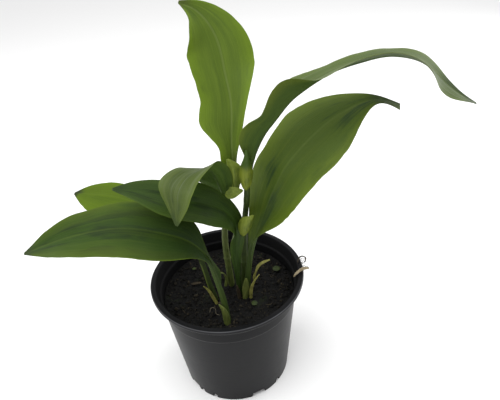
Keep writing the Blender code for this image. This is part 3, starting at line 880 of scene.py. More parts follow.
@dataclass
class NurseryPot:
    """The tapered round pot with a flanged lip and a notched foot ring.

    Attributes:
        disc_radius: Radius of the raised disc in the middle of the floor.
        hole_ring_radius: Radius of the ring on which the drain holes lie.
        wide_notch: Half-width of the wide notches in the foot ring.
        narrow_notch: Half-width of the narrow ones.
        wide_azimuths: Where the wide notches are, in degrees.
        narrow_azimuths: Where the narrow ones are.
        notch_edge: Half-width of a notch's sloping edge.
        row_gap: Greatest distance between the section's points, for the notches' sake.
        straight: Heights between which both faces of the wall run straight, without points.
        crease: Angle from which an edge is sharp, in degrees.
    """

    height: float = 105.4
    rim_radius: float = 65.0
    rim_inner_radius: float = 60.4
    shoulder_radius: float = 57.3
    shoulder_height: float = 85.0
    base_radius: float = 47.7
    wall: float = 1.2
    foot_height: float = 5.0
    foot_width: float = 3.2
    disc_radius: float = 29.0
    floor: float = 1.6
    hole_radius: float = 3.0
    hole_ring_radius: float = 37.5
    hole_count: int = 8
    wide_notch: float = 5.8
    narrow_notch: float = 1.8
    wide_azimuths: tuple[float, ...] = (-72, 2, 70, 142, 212)
    narrow_azimuths: tuple[float, ...] = (-46, -120, -136, 30, 106, 177)
    notch_edge: float = 0.3
    row_gap: float = 2.5
    straight: tuple[float, float] = (20.0, 70.0)
    crease: float = 38.0
    hole_sides: int = 24
    steps_round: int = 576
    finish: PotFinish = PotFinish()

    def corners(self) -> Rows:
        """List the section's corners, from the inner floor over the lip to the underside.

        Returns:
            Radius, height and fillet of each corner, in millimetres.
        """
        floor_top = self.floor + self.foot_height
        lip_under = self.height - 3.0
        step = self.height - 9.0
        inner = self.shoulder_radius - self.wall
        return (
            (self.disc_radius, self.floor, 0.6),
            (self.disc_radius + 1.5, floor_top, 0.6),
            (self.base_radius - 1.8, floor_top, 1.6),
            (inner, self.shoulder_height, 0.5),
            (inner + 0.6, step - 1.0, 0.3),
            (self.shoulder_radius + 0.9, step, 0.3),
            (self.rim_inner_radius, self.height, 0.6),
            (self.rim_radius, self.height, 1.4),
            (self.rim_radius - 0.3, lip_under, 0.6),
            (self.rim_inner_radius + 1.3, lip_under, 0.4),
            (self.shoulder_radius + 2.2, step, 0.4),
            (self.shoulder_radius + 0.8, step - 1.0, 0.4),
            (self.shoulder_radius + 0.5, self.shoulder_height + 0.8, 0.3),
            (self.shoulder_radius, self.shoulder_height, 0.3),
            (self.base_radius, 0.0, 0.5),
            (self.base_radius - self.foot_width, 0.0, 0.4),
            (self.base_radius - self.foot_width - 0.3, self.foot_height, 0.4),
            (self.disc_radius + 0.9, self.foot_height, 0.4),
            (self.disc_radius - 0.6, 0.0, 0.4),
        )

    def profile(self, arc_steps: int = 4) -> Array:
        """Return the section with each corner rounded.

        A corner is replaced by the quadratic curve that leaves one side and joins the other
        a fillet's length away. Long sides get extra points, close enough for the notches,
        apart from the straight middle of the wall.

        Args:
            arc_steps: Steps in each rounded corner.

        Returns:
            Points as (radius, height).
        """
        rows = np.array(self.corners())
        middle, fillet = rows[1:-1, :2], rows[1:-1, 2:]
        before, after = rows[:-2, :2] - middle, rows[2:, :2] - middle
        start = middle + unit_rows(before) * fillet
        end = middle + unit_rows(after) * fillet
        share = np.linspace(0.0, 1.0, arc_steps + 1)[None, :, None]
        arcs = ((1 - share) ** 2 * start[:, None] + 2 * share * (1 - share) * middle[:, None]
                + share ** 2 * end[:, None])
        line = np.concatenate((rows[:1, :2], arcs.reshape(-1, 2), rows[-1:, :2]))
        gaps = np.concatenate(([0.0], np.cumsum(np.linalg.norm(np.diff(line, axis=0), axis=1))))
        extra = np.arange(0.0, gaps[-1], self.row_gap)
        places = np.unique(np.concatenate((gaps, extra)).round(3))
        points = np.stack([np.interp(places, gaps, line[:, axis]) for axis in (0, 1)], axis=1)
        low, high = self.straight
        return points[(points[:, 1] < low) | (points[:, 1] > high)]

    def notch_lift(self, azimuth: Array) -> Array:
        """Work out how high the foot ring is cut away.

        Args:
            azimuth: Angles round Z.

        Returns:
            The height of the cut at each angle, in millimetres.
        """
        lift = np.zeros_like(azimuth)
        for half_width, centres in ((self.wide_notch, self.wide_azimuths),
                                    (self.narrow_notch, self.narrow_azimuths)):
            away = np.abs(np.angle(np.exp(1j * (azimuth[:, None] - np.radians(centres)))))
            reach = away.min(axis=1) * self.base_radius
            uncut = ease(reach, half_width - self.notch_edge, half_width + self.notch_edge)
            lift = np.maximum(lift, self.foot_height * (1.0 - uncut))
        return lift

    def mesh(self) -> bpy.types.Mesh:
        """Make the pot: its profile turned round Z, with the foot ring lifted at notches.

        Returns:
            The new mesh.
        """
        profile = self.profile()
        azimuth = np.linspace(0.0, 2.0 * np.pi, self.steps_round, endpoint=False)
        radius = np.repeat(profile[:, :1], self.steps_round, axis=1)
        height = np.repeat(profile[:, 1:], self.steps_round, axis=1)
        ring = (profile[:, :1] > self.disc_radius + 6.0) & (height < self.foot_height)
        lifted = np.where(ring, np.maximum(height, self.notch_lift(azimuth)[None, :]), height)
        taper = (self.shoulder_radius - self.base_radius) / self.shoulder_height
        radius = radius + np.where(radius > self.base_radius - 1.0, (lifted - height) * taper, 0.0)
        points = np.stack((radius * np.cos(azimuth), radius * np.sin(azimuth), lifted), axis=-1)
        mesh = Sheet(points).mesh("nursery_pot")
        mesh.set_sharp_from_angle(angle=math.radians(self.crease))
        return mesh

    def hole_cutter(self) -> bpy.types.Object:
        """Make one short cylinder for each drain hole.

        Returns:
            The object to cut with.
        """
        sides = self.hole_sides
        turn = np.linspace(0.0, 2.0 * np.pi, sides, endpoint=False)
        centre = 2.0 * np.pi * (np.arange(self.hole_count) + 0.5) / self.hole_count
        ring = self.hole_radius * np.stack((np.cos(turn), np.sin(turn)), axis=-1)
        middle = self.hole_ring_radius * np.stack((np.cos(centre), np.sin(centre)), axis=-1)
        flat = middle[:, None, :] + ring[None, :, :]
        levels = (self.foot_height - 2.0, self.foot_height + self.floor + 2.0)
        sheets = [np.concatenate((flat, np.full((*flat.shape[:2], 1), z)), axis=2) for z in levels]
        low = np.arange(sides)
        ahead = np.roll(low, -1)
        walls = np.stack((low, ahead, ahead + sides, low + sides), axis=1)
        caps = np.stack((low[::-1], low + sides))
        mesh = joined_mesh("drain_holes", np.concatenate(sheets, axis=1), (walls, caps), {})
        mesh.shade_flat()
        cutter = bpy.data.objects.new("drain_holes", mesh)
        bpy.context.scene.collection.objects.link(cutter)
        return cutter

    def build(self) -> None:
        """Make the pot, cut its drain holes and dress it."""
        mesh = self.mesh()
        rough = bpy.data.objects.new("uncut_pot", mesh)
        bpy.context.scene.collection.objects.link(rough)
        cutter = self.hole_cutter()
        cut = rough.modifiers.new("drain_holes", "BOOLEAN")
        cut.object = cutter
        cut.solver = "EXACT"
        graph = bpy.context.evaluated_depsgraph_get()
        finished = bpy.data.meshes.new_from_object(rough.evaluated_get(graph))
        for helper in (rough, cutter):
            bpy.data.objects.remove(helper, do_unlink=True)
        finished.name = "pot_shell"
        add_piece(finished, [self.finish.material("pot_plastic")], ["nursery_pot"])


@dataclass
class SoilBed:
    """The potting mix: a turned plug with a rough top, and what lies loose on it.

    Attributes:
        top: Height of the top at the middle of the pot.
        bottom: Height of the underside.
        wall_radius: Radius at the top.
        base_radius: Radius at the bottom.
        shelter: Width of the band by the wall where the lumps die down.
        tilt: Rise towards +X for each millimetre.
        steps_in: Rings from the wall to the middle of the top.
    """

    top: float = 87.6
    bottom: float = 7.2
    wall_radius: float = 55.9
    base_radius: float = 45.6
    shelter: float = 9.0
    tilt: float = 0.012
    crumbs: int = 1500
    fibres: int = 150
    steps_round: int = 360
    steps_in: int = 110
    finish: SoilFinish = SoilFinish()
    loose: CrumbFinish = CrumbFinish()

    def level(self, x: Array, y: Array) -> Array:
        """Return the height of the soil's surface.

        Lumps of three sizes are added to a slow swell that rises towards +X.

        Args:
            x: Positions along X.
            y: Positions along Y.

        Returns:
            Heights in millimetres.
        """
        flat = np.stack((x, y, np.zeros_like(x)), axis=-1)
        inner = 1.0 - ease(np.hypot(x, y), self.wall_radius - self.shelter, self.wall_radius)
        swell = 0.6 * lattice_noise(flat, 26.0, 3) + self.tilt * x
        lumps = (1.0 * lattice_noise(flat, 7.0, 5) + 0.7 * lattice_noise(flat, 3.2, 8)
                 + 0.35 * np.abs(lattice_noise(flat, 1.5, 13)))
        return self.top + 0.3 + (swell + lumps) * (0.35 + 0.65 * inner)

    def mesh(self) -> bpy.types.Mesh:
        """Make the plug: rings up the wall, then rings in towards the middle of the top.

        Returns:
            The new mesh.
        """
        azimuth = np.linspace(0.0, 2.0 * np.pi, self.steps_round, endpoint=False)
        wall_height = np.linspace(self.bottom + 2.0, self.top - 1.0, 6)
        share = (wall_height - self.bottom) / (self.top - self.bottom)
        wall = self.base_radius + (self.wall_radius - self.base_radius) * share
        top = np.linspace(self.wall_radius, 0.4, self.steps_in)
        radii = np.concatenate(([20.0, 42.0], wall, top))
        radius = radii[:, None] * np.ones_like(azimuth)
        x, y = radius * np.cos(azimuth), radius * np.sin(azimuth)
        low = np.concatenate(([self.bottom, self.bottom], wall_height))
        height = self.level(x, y)
        height[:len(low)] = low[:, None]
        return Sheet(np.stack((x, y, height), axis=-1)).mesh("soil_bed")

    def scatter(self, count: int, random: np.random.Generator) -> tuple[Array, Array]:
        """Spread places evenly over the top: the radius is the square root of a share of the area.

        Args:
            count: How many places.
            random: Where the draws come from.

        Returns:
            Their X and their Y, in millimetres.
        """
        radius = (self.wall_radius - 1.6) * np.sqrt(random.random(count))
        turn = random.random(count) * 2.0 * np.pi
        return radius * np.cos(turn), radius * np.sin(turn)

    def crumb_mesh(self) -> bpy.types.Mesh:
        """Make loose crumbs: spheres of twelve points pushed out of round and flattened.

        Returns:
            The new mesh, with each crumb's tone.
        """
        random = np.random.default_rng(11)
        golden = (1.0 + 5.0 ** 0.5) / 2.0
        ring = np.array([(-1, golden, 0), (1, golden, 0), (-1, -golden, 0), (1, -golden, 0)])
        ball = unit_rows(np.concatenate((ring, np.roll(ring, 1, axis=1), np.roll(ring, 2, axis=1))))
        apart = np.linalg.norm(ball[:, None] - ball[None], axis=-1)
        near = apart < 1.2
        triples = [(a, b, c) for a in range(12) for b in range(a + 1, 12)
                   for c in range(b + 1, 12) if near[a, b] and near[b, c] and near[a, c]]
        faces = np.array([t if np.dot(np.cross(ball[t[1]] - ball[t[0]], ball[t[2]] - ball[t[0]]),
                                      ball[t[0]]) > 0 else t[::-1] for t in triples])
        size = 0.35 + 1.25 * random.random(self.crumbs) ** 3
        stretch = 0.6 + 0.8 * random.random((self.crumbs, 1, 3))
        lump = 0.75 + 0.5 * random.random((self.crumbs, 12, 1))
        x, y = self.scatter(self.crumbs, random)
        centre = np.stack((x, y, self.level(x, y) + 0.3 * size), axis=-1)
        vertices = centre[:, None] + ball[None] * lump * stretch * size[:, None, None]
        tone = random.random(self.crumbs) ** 3 * 0.6
        return joined_mesh("soil_crumbs", vertices, (faces,), {"tone": tone})

    def fibre_mesh(self) -> bpy.types.Mesh:
        """Make fine roots and bark fibres: thin five-sided tubes that follow the surface.

        Returns:
            The new mesh, with each fibre's tone.
        """
        random = np.random.default_rng(23)
        x, y = self.scatter(self.fibres, random)
        heading = random.random(self.fibres) * 2.0 * np.pi
        bend = (random.random(self.fibres) - 0.5) * 0.5
        length = 2.5 + 8.0 * random.random(self.fibres) ** 2
        along = np.linspace(-0.5, 0.5, 9)
        angle = heading[:, None] + bend[:, None] * along * 8.0
        px = x[:, None] * 0.93 + length[:, None] * along * np.cos(angle)
        py = y[:, None] * 0.93 + length[:, None] * along * np.sin(angle)
        lift = 0.35 + 0.9 * random.random(self.fibres)[:, None] * (1.0 - (2.0 * along) ** 2)
        pz = self.level(px, py) + lift
        radius = (0.12 + 0.22 * random.random(self.fibres))[:, None] * (1.15 - np.abs(along) * 1.6)
        tone = 0.15 + 0.85 * random.random(self.fibres) ** 2
        return strand_mesh("soil_fibres", np.stack((px, py, pz), axis=-1), angle, radius, tone)

    def build(self) -> None:
        """Make the bed and the loose bits on it."""
        add_piece(self.mesh(), [self.finish.material("potting_mix")], ["potting_soil"])
        loose = self.loose.material("loose_mix")
        add_piece(self.crumb_mesh(), [loose], [])
        add_piece(self.fibre_mesh(), [loose], [])


# ------------------------------------------------------------------ leaves


@dataclass
class Leaf:
    """A blade with its stalk, carried along a curved midrib.

    Attributes:
        node: The CAD node that the leaf stands for.
        slot: The record's material slot; not used.
        upper: Finish of the upper face.
        lower: Finish of the lower face.
        stations: Rows from the stalk's foot to the tip: x, y, z of the midrib, half-width on
            each side, direction of the upper face, and the fold and curl in degrees.
        ripple: Height of the waves at the rim.
        waves: Number of waves along the rim.
        wander: How far the rim wanders in and out, as a share of the half-width.
        has_stalk: Whether the narrow start is a round stalk.
        seed: Moves the patterns and the ripples.
        blade: Half the blade's thickness.
        fold_reach: How far from the midrib the fold reaches, as a share of the half-width.
        least_width: Least half-width, at the tip.
        crowding: Power that crowds the points of a ring towards the midrib.
        section_steps: Steps in which the slope of half a section is summed.
        dent: Height of the slow dents in the blade.
        dent_cell: Size of a dent.
        broad: Half-width from which the dents and the rim's wandering reach full strength.
        stalk_end: Half-widths between which the stalk turns into the blade.
        skin_change: Half-widths between which the stalk's colour gives way to the blade's.
        channel_depth: Depth of the groove over the midrib.
        channel_width: Width of the groove.
    """

    node: str
    slot: str
    upper: LeafFinish
    lower: LeafFinish
    stations: Rows
    ripple: float = 1.0
    waves: float = 3.0
    wander: float = 0.025
    has_stalk: bool = True
    seed: int = 1
    steps_along: int = 220
    steps_across: int = 84
    blade: float = 0.30
    fold_reach: float = 0.08
    least_width: float = 0.45
    crowding: float = 1.35
    section_steps: int = 240
    dent: float = 0.5
    dent_cell: float = 15.0
    broad: float = 12.0
    stalk_end: tuple[float, float] = (2.6, 7.0)
    skin_change: tuple[float, float] = (2.8, 6.5)
    channel_depth: float = 0.45
    channel_width: float = 0.9

    def rows(self) -> Array:
        """Interpolate the stations along the midrib with a natural spline over its length.

        Returns:
            One row of station values for each step along the leaf.
        """
        stations = np.array(self.stations, dtype=float)
        chord = np.linalg.norm(np.diff(stations[:, :3], axis=0), axis=1)
        knots = np.concatenate(([0.0], np.cumsum(chord)))
        return natural_spline(knots, stations, np.linspace(0.0, knots[-1], self.steps_along))

    def section(self, rows: Array, across: Array) -> tuple[Array, Array, Array]:
        """Return how far each point of the section lies out and up, and its slope.

        The slope is the fold, which is complete a little way from the midrib, plus the curl,
        which grows in proportion to the distance from it. Summing its cosine and sine gives
        the way out and up.

        Args:
            rows: Interpolated stations.
            across: Places from -1 at one rim to 1 at the other.

        Returns:
            Out, up and slope, shaped (rows, places); out and up are in half-widths.
        """
        fine = np.linspace(0.0, 1.0, self.section_steps + 1)
        fold, curl = np.radians(rows[:, 8:9]), np.radians(rows[:, 9:10])
        slope = fold * np.tanh(fine / self.fold_reach) + curl * fine
        step = fine[1] - fine[0]
        zero = np.zeros((len(rows), 1))
        halves = (slope[:, 1:] + slope[:, :-1]) / 2.0
        out = np.concatenate((zero, np.cumsum(np.cos(halves), axis=1)), axis=1) * step
        rise = np.concatenate((zero, np.cumsum(np.sin(halves), axis=1)), axis=1) * step
        place = np.abs(across) * float(self.section_steps)
        low = np.minimum(place.astype(int), self.section_steps - 1)
        share = place - low
        read = [table[:, low] * (1.0 - share) + table[:, low + 1] * share
                for table in (out, rise, slope)]
        return read[0] * np.sign(across), read[1], read[2]

    def rim_wander(self, midrib: Array, across: Array) -> Array:
        """Work out how far each side's width wanders, from noise along the midrib.

        Args:
            midrib: Points along the midrib.
            across: Places across the leaf, from -1 to 1.

        Returns:
            A share of the half-width, for each point and place.
        """
        sides = np.stack([midrib + side * 40.0 for side in (0, 1)], axis=1)
        coarse, fine = (lattice_noise(sides, cell, self.seed + 50) for cell in (11.0, 4.0))
        return (self.wander * (coarse + 0.5 * fine))[:, (across > 0.0).astype(int)]

    def sheet(self) -> Sheet:
        """Work out the leaf's surface.

        A ring of each section starts at one rim, runs over the upper face to the other rim
        and back under the lower face. The blade is a thin lens. The midrib is a round rod
        set into the lower face, which tapers from the stalk to the tip. Waves grow with the
        square of the distance from the midrib.

        Returns:
            The surface, with its marks and its material slots.
        """
        rows = self.rows()
        midrib = rows[:, :3]
        along = unit_rows(np.gradient(midrib, axis=0))
        facing = rows[:, 5:8]
        upward = unit_rows(facing - (facing * along).sum(1, keepdims=True) * along)
        sideways = np.cross(upward, along)
        turn = np.linspace(0.0, 2.0 * np.pi, self.steps_across, endpoint=False)
        across = np.sign(np.cos(turn)) * np.abs(np.cos(turn)) ** self.crowding
        out, rise, slope = self.section(rows, across)
        width = np.where(across > 0.0, rows[:, 3:4], rows[:, 4:5]).clip(min=self.least_width)
        breadth = np.minimum(width / self.broad, 1.0)
        width = width * (1.0 + self.rim_wander(midrib, across) * breadth)
        offset = across * width
        share = np.linspace(0.0, 1.0, self.steps_along)[:, None]
        wave = np.sin(2.0 * np.pi * self.waves * share + self.seed + 1.3 * (across > 0.0))
        wave = self.ripple * wave * across ** 2 * np.minimum(width / 9.0, 1.0)
        mid = (midrib[:, None] + sideways[:, None] * (out * width)[..., None]
               + upward[:, None] * (rise * width + wave)[..., None])
        dents = self.dent * lattice_noise(mid, self.dent_cell, self.seed)
        mid = mid + upward[:, None] * (dents * np.minimum(width / self.broad, 1.0))[..., None]
        outward = (upward[:, None] * np.cos(slope)[..., None]
                   - sideways[:, None] * (np.sign(across) * np.sin(slope))[..., None])
        body = ease(width, *self.stalk_end) if self.has_stalk else np.ones_like(width)
        lens = self.blade * np.sqrt(np.clip(1.0 - across ** 8, 0.0, 1.0))
        lens = lens * (1.0 - 0.4 * across ** 2)
        rod = rows[0, 3] * (1.0 - share) ** 1.3 + 0.25 if self.has_stalk else 0.0 * share
        core = np.sqrt(np.clip(rod ** 2 - offset ** 2, 0.0, None))
        thick_up = np.maximum(lens, core * (1.0 - body))
        thick_down = np.maximum(lens, core)
        over = np.sin(turn) > 0.0
        depth = np.where(over, thick_up, -thick_down)
        depth = np.where(np.abs(across) > 0.99999, 0.0, depth)
        groove = np.exp(-(offset / self.channel_width) ** 2)
        channel = -self.channel_depth * groove * body * (1.0 - share)
        points = mid + outward * (depth + channel)[..., None]
        shape = points.shape[:2]
        marks = {
            "along": np.broadcast_to(share, shape),
            "across": np.broadcast_to(across, shape),
            "offset": offset,
            "blade": ease(width, *self.skin_change) if self.has_stalk else np.ones(shape),
        }
        return Sheet(points, marks, np.where(over, Face.UPPER.value, Face.LOWER.value))

    def build(self) -> None:
        """Make the leaf and dress both faces."""
        mesh = self.sheet().mesh(f"{self.node}_skin")
        materials = [self.upper.material(f"{self.node}_upper", 3.7 * self.seed),
                     self.lower.material(f"{self.node}_lower", 5.3 * self.seed)]
        add_piece(mesh, materials, [self.node])


@dataclass
class SmallLeaf(Leaf):
    """A bract, bud sheath or scale: a small leaf with no stalk and one plain skin."""

    skin: SkinFinish = PALE_SHEATH
    steps_along: int = 60
    steps_across: int = 40
    blade: float = 0.35
    ripple: float = 0.25
    has_stalk: bool = False

    def build(self) -> None:
        """Make the small leaf and dress it."""
        sheet = self.sheet()
        sheet.slots = None
        material = self.skin.material(f"{self.node}_skin", self.seed)
        add_piece(sheet.mesh(f"{self.node}_skin"), [material], [self.node])


TALL_LEAF: Rows = (
    (10, 3, 184, 2, 2, 0.3, -0.9, 0.3, 0, 0),
    (14, 4, 197, 3.5, 2.5, 0.2, -0.9, 0.3, 10, 5),
    (15, 6, 210, 10, 3.5, 0.1, -0.9, 0.4, 20, 10),
    (15.6, 9, 219, 10.5, 5.5, 0, -0.9, 0.4, 18, 5),
    (17, 13, 231, 21, 8.5, -0.2, -0.9, 0.4, 16, 0),
    (19, 20, 251, 22.5, 13.5, -0.2, -0.9, 0.4, 14, 0),
    (17, 28, 271, 23, 22, 0, -0.9, 0.4, 12, -5),
    (15, 34, 288, 23.5, 21.5, 0, -0.9, 0.4, 12, -8),
    (9, 38, 303, 18, 14, 0.1, -0.8, 0.5, 14, 0),
    (1, 40, 312, 12, 7, 0.2, -0.8, 0.5, 18, 10),
    (-9, 38, 318, 1, 1.5, 0.2, -0.8, 0.5, 20, 20),
)
ARCHING_LEAF: Rows = (
    (24.1, -12, 204, 2.2, 2.2, -0.6, -0.2, 0.6, 0, 0),
    (26.3, -13, 215, 2.6, 3, -0.6, 0.2, 0.6, 20, 10),
    (29.2, -14.5, 225, 5, 9, -0.7, 0.5, 0.45, 40, 12),
    (31.6, -15.5, 231, 8.5, 13, -0.7, 0.5, 0.5, 50, 10),
    (36.9, -17, 241, 8.5, 12, -0.65, 0.5, 0.6, 58, 6),
    (42, -18.5, 248, 9.5, 8.8, -0.62, 0.5, 0.63, 58, 4),
    (47, -20, 255, 10.5, 11.5, -0.6, 0.5, 0.65, 58, 2),
    (59, -23, 268, 14, 15.5, -0.5, 0.4, 0.75, 48, -4),
    (72, -25, 276, 12.5, 15, -0.35, 0.1, 1, 22, -4),
    (86, -27, 283, 9.5, 14, -0.3, 0.15, 1, 18, -6),
    (99, -28, 286, 12, 14, -0.2, 0.2, 1, 18, -8),
    (114, -29, 288, 15, 14, 0, 0.2, 1, 20, -8),
    (127, -30, 286, 14, 13, 0.3, 0.1, 1, 18, -8),
    (140, -31, 280, 9.5, 11, 0.5, -0.25, 0.75, 12, -6),
    (152, -32, 269, 4.5, 10, 0.45, -0.65, 0.55, 10, 0),
    (164, -33, 259, 1.8, 6.5, 0.4, -0.6, 0.6, 10, 0),
    (176, -34, 251, 1, 1, 0.5, -0.4, 0.7, 10, 0),
)
BROAD_LEAF: Rows = (
    (14.6, -12, 89, 2.6, 2.6, -0.7, -0.2, 0.4, 0, 0),
    (19.3, -14, 127.5, 3, 3, -0.7, -0.2, 0.4, 0, 0),
    (24, -14.5, 147.5, 4.8, 5, -0.7, -0.3, 0.5, 20, 20),
    (32, -13, 167, 13.8, 16.5, -0.6, -0.4, 0.5, 15, 4),
    (41, -13, 189, 25, 27.5, -0.6, -0.4, 0.6, 12, -2),
    (53, -14, 212, 23, 30, -0.6, -0.5, 0.6, 11, -4),
    (68, -14, 229, 26, 31.5, -0.5, -0.5, 0.7, 10, -8),
    (83, -15, 242, 21, 28, -0.3, -0.5, 0.8, 10, -10),
    (99, -16, 251, 11.5, 15, -0.1, -0.5, 0.8, 12, -8),
    (115, -18, 255, 3, 4, 0, -0.5, 0.8, 14, 0),
    (130, -20, 250, 1, 5, 0, -0.5, 0.8, 12, 0),
)
LOW_LEAF: Rows = (
    (-4, -38, 89, 2.5, 2.5, 0.3, 0.1, 1, 0, 0),
    (-6, -38, 120, 2.4, 2.4, 0.5, 0, 1, 0, 0),
    (-9, -37, 138, 3, 5, 0.5, -0.2, 0.9, 20, 20),
    (-14, -36, 158, 7, 3.5, 0.4, -0.3, 0.9, 18, 10),
    (-23, -35, 170, 16, 13.5, 0.2, -0.4, 0.9, 15, 0),
    (-43, -33, 180, 24, 18.5, 0, -0.4, 0.9, 12, -6),
    (-63, -30, 185, 24, 21, 0, -0.4, 0.9, 11, -8),
    (-85, -27, 185, 22, 20, -0.1, -0.4, 0.9, 11, -8),
    (-115, -22, 178, 15.5, 13.5, -0.2, -0.4, 0.8, 13, -5),
    (-145, -18, 167, 1, 1, -0.3, -0.4, 0.8, 13, 0),
)
BACK_LEAF: Rows = (
    (-12, -12, 89, 2.4, 2.4, 0.3, -0.3, 1, 0, 0),
    (-16, -9, 109, 2.1, 2.1, 0.4, -0.4, 1, 0, 0),
    (-19, -4, 125, 2.1, 2.1, 0.5, -0.4, 0.9, 0, 0),
    (-25, 3, 143, 7, 5, 0.4, -0.4, 0.9, 18, 12),
    (-41, 13, 162, 13, 10, 0.2, -0.3, 0.9, 14, 4),
    (-64, 27, 170, 16, 12, 0, -0.3, 0.9, 12, -4),
    (-91, 42, 172, 22, 13, -0.2, -0.3, 0.9, 12, -4),
    (-120, 55, 170, 1, 1, -0.3, -0.3, 0.9, 12, 0),
)
DARK_LEAF: Rows = (
    (8.6, -10, 89, 2.2, 2.2, 0.3, -0.6, 0.5, 0, 0),
    (8.8, -13, 120, 3.4, 2.8, 0.3, -0.8, 0.5, 8, 12),
    (9.5, -14, 142, 6.5, 5.5, 0.3, -0.8, 0.5, 20, 18),
    (11, -14, 163, 12, 8, 0.5, -0.5, 0.8, 18, 10),
    (2, -16, 182, 19, 11.5, 0.4, -0.4, 0.8, 14, 0),
    (-19, -20, 195, 19, 17.5, 0, -0.4, 0.9, 12, -6),
    (-39, -23, 204, 16.5, 13.5, 0, -0.4, 0.9, 12, -8),
    (-55, -25, 212, 9.5, 7.5, -0.1, -0.4, 0.9, 13, -5),
    (-69, -27, 217, 1, 1, -0.1, -0.4, 0.9, 13, 0),
)
DROOPING_LEAF: Rows = (
    (6.5, -3.5, 185, 2, 2, 0.4, 0.9, 0.4, 0, 0),
    (3, -8, 202, 11, 18.5, -0.05, 0.8, 0.6, 15, 10),
    (-3, -17, 218, 10, 19, -0.15, 0.55, 0.75, 12, 4),
    (-11, -29, 224.5, 12, 13, -0.2, 0.1, 1, 10, -6),
    (-20, -39, 225.5, 13, 13, -0.4, -0.4, 0.8, 8, -10),
    (-26, -45, 220.5, 15, 15, -0.7, -0.7, 0.3, 10, -10),
    (-28, -47, 211, 12, 8.5, -0.7, -0.8, 0, 12, -5),
    (-29, -48, 195, 1, 1, -0.6, -0.8, 0, 12, 0),
)


def leaves() -> list[Leaf]:
    """List the seven leaves.

    Returns:
        The leaves, in the order in which they are built.
    """
    bright, green, dark = "bright_leaf", "green_leaf", "dark_leaf_skin"
    return [
        Leaf("tall_leaf", bright, BRIGHT_UPPER, BRIGHT_LOWER, TALL_LEAF, 1.0, 2.5, seed=1),
        Leaf("arching_leaf", dark, ARCH_UPPER, ARCH_LOWER, ARCHING_LEAF, 0.9, 5.0, 0.06, seed=2),
        Leaf("broad_leaf", green, GREEN_UPPER, GREEN_LOWER, BROAD_LEAF, 1.2, 2.5, seed=3),
        Leaf("low_leaf", dark, DARK_UPPER, GREEN_LOWER, LOW_LEAF, 1.2, 3.0, seed=4),
        Leaf("back_leaf", bright, BACK_UPPER, BRIGHT_LOWER, BACK_LEAF, 1.2, 2.5, seed=5),
        Leaf("dark_leaf", dark, GLOSSY_UPPER, GREEN_LOWER, DARK_LEAF, 0.9, 2.5, seed=6),
        Leaf("drooping_leaf", green, SHEEN_UPPER, DROOP_LOWER, DROOPING_LEAF, 0.9, 2.0, seed=7),
    ]


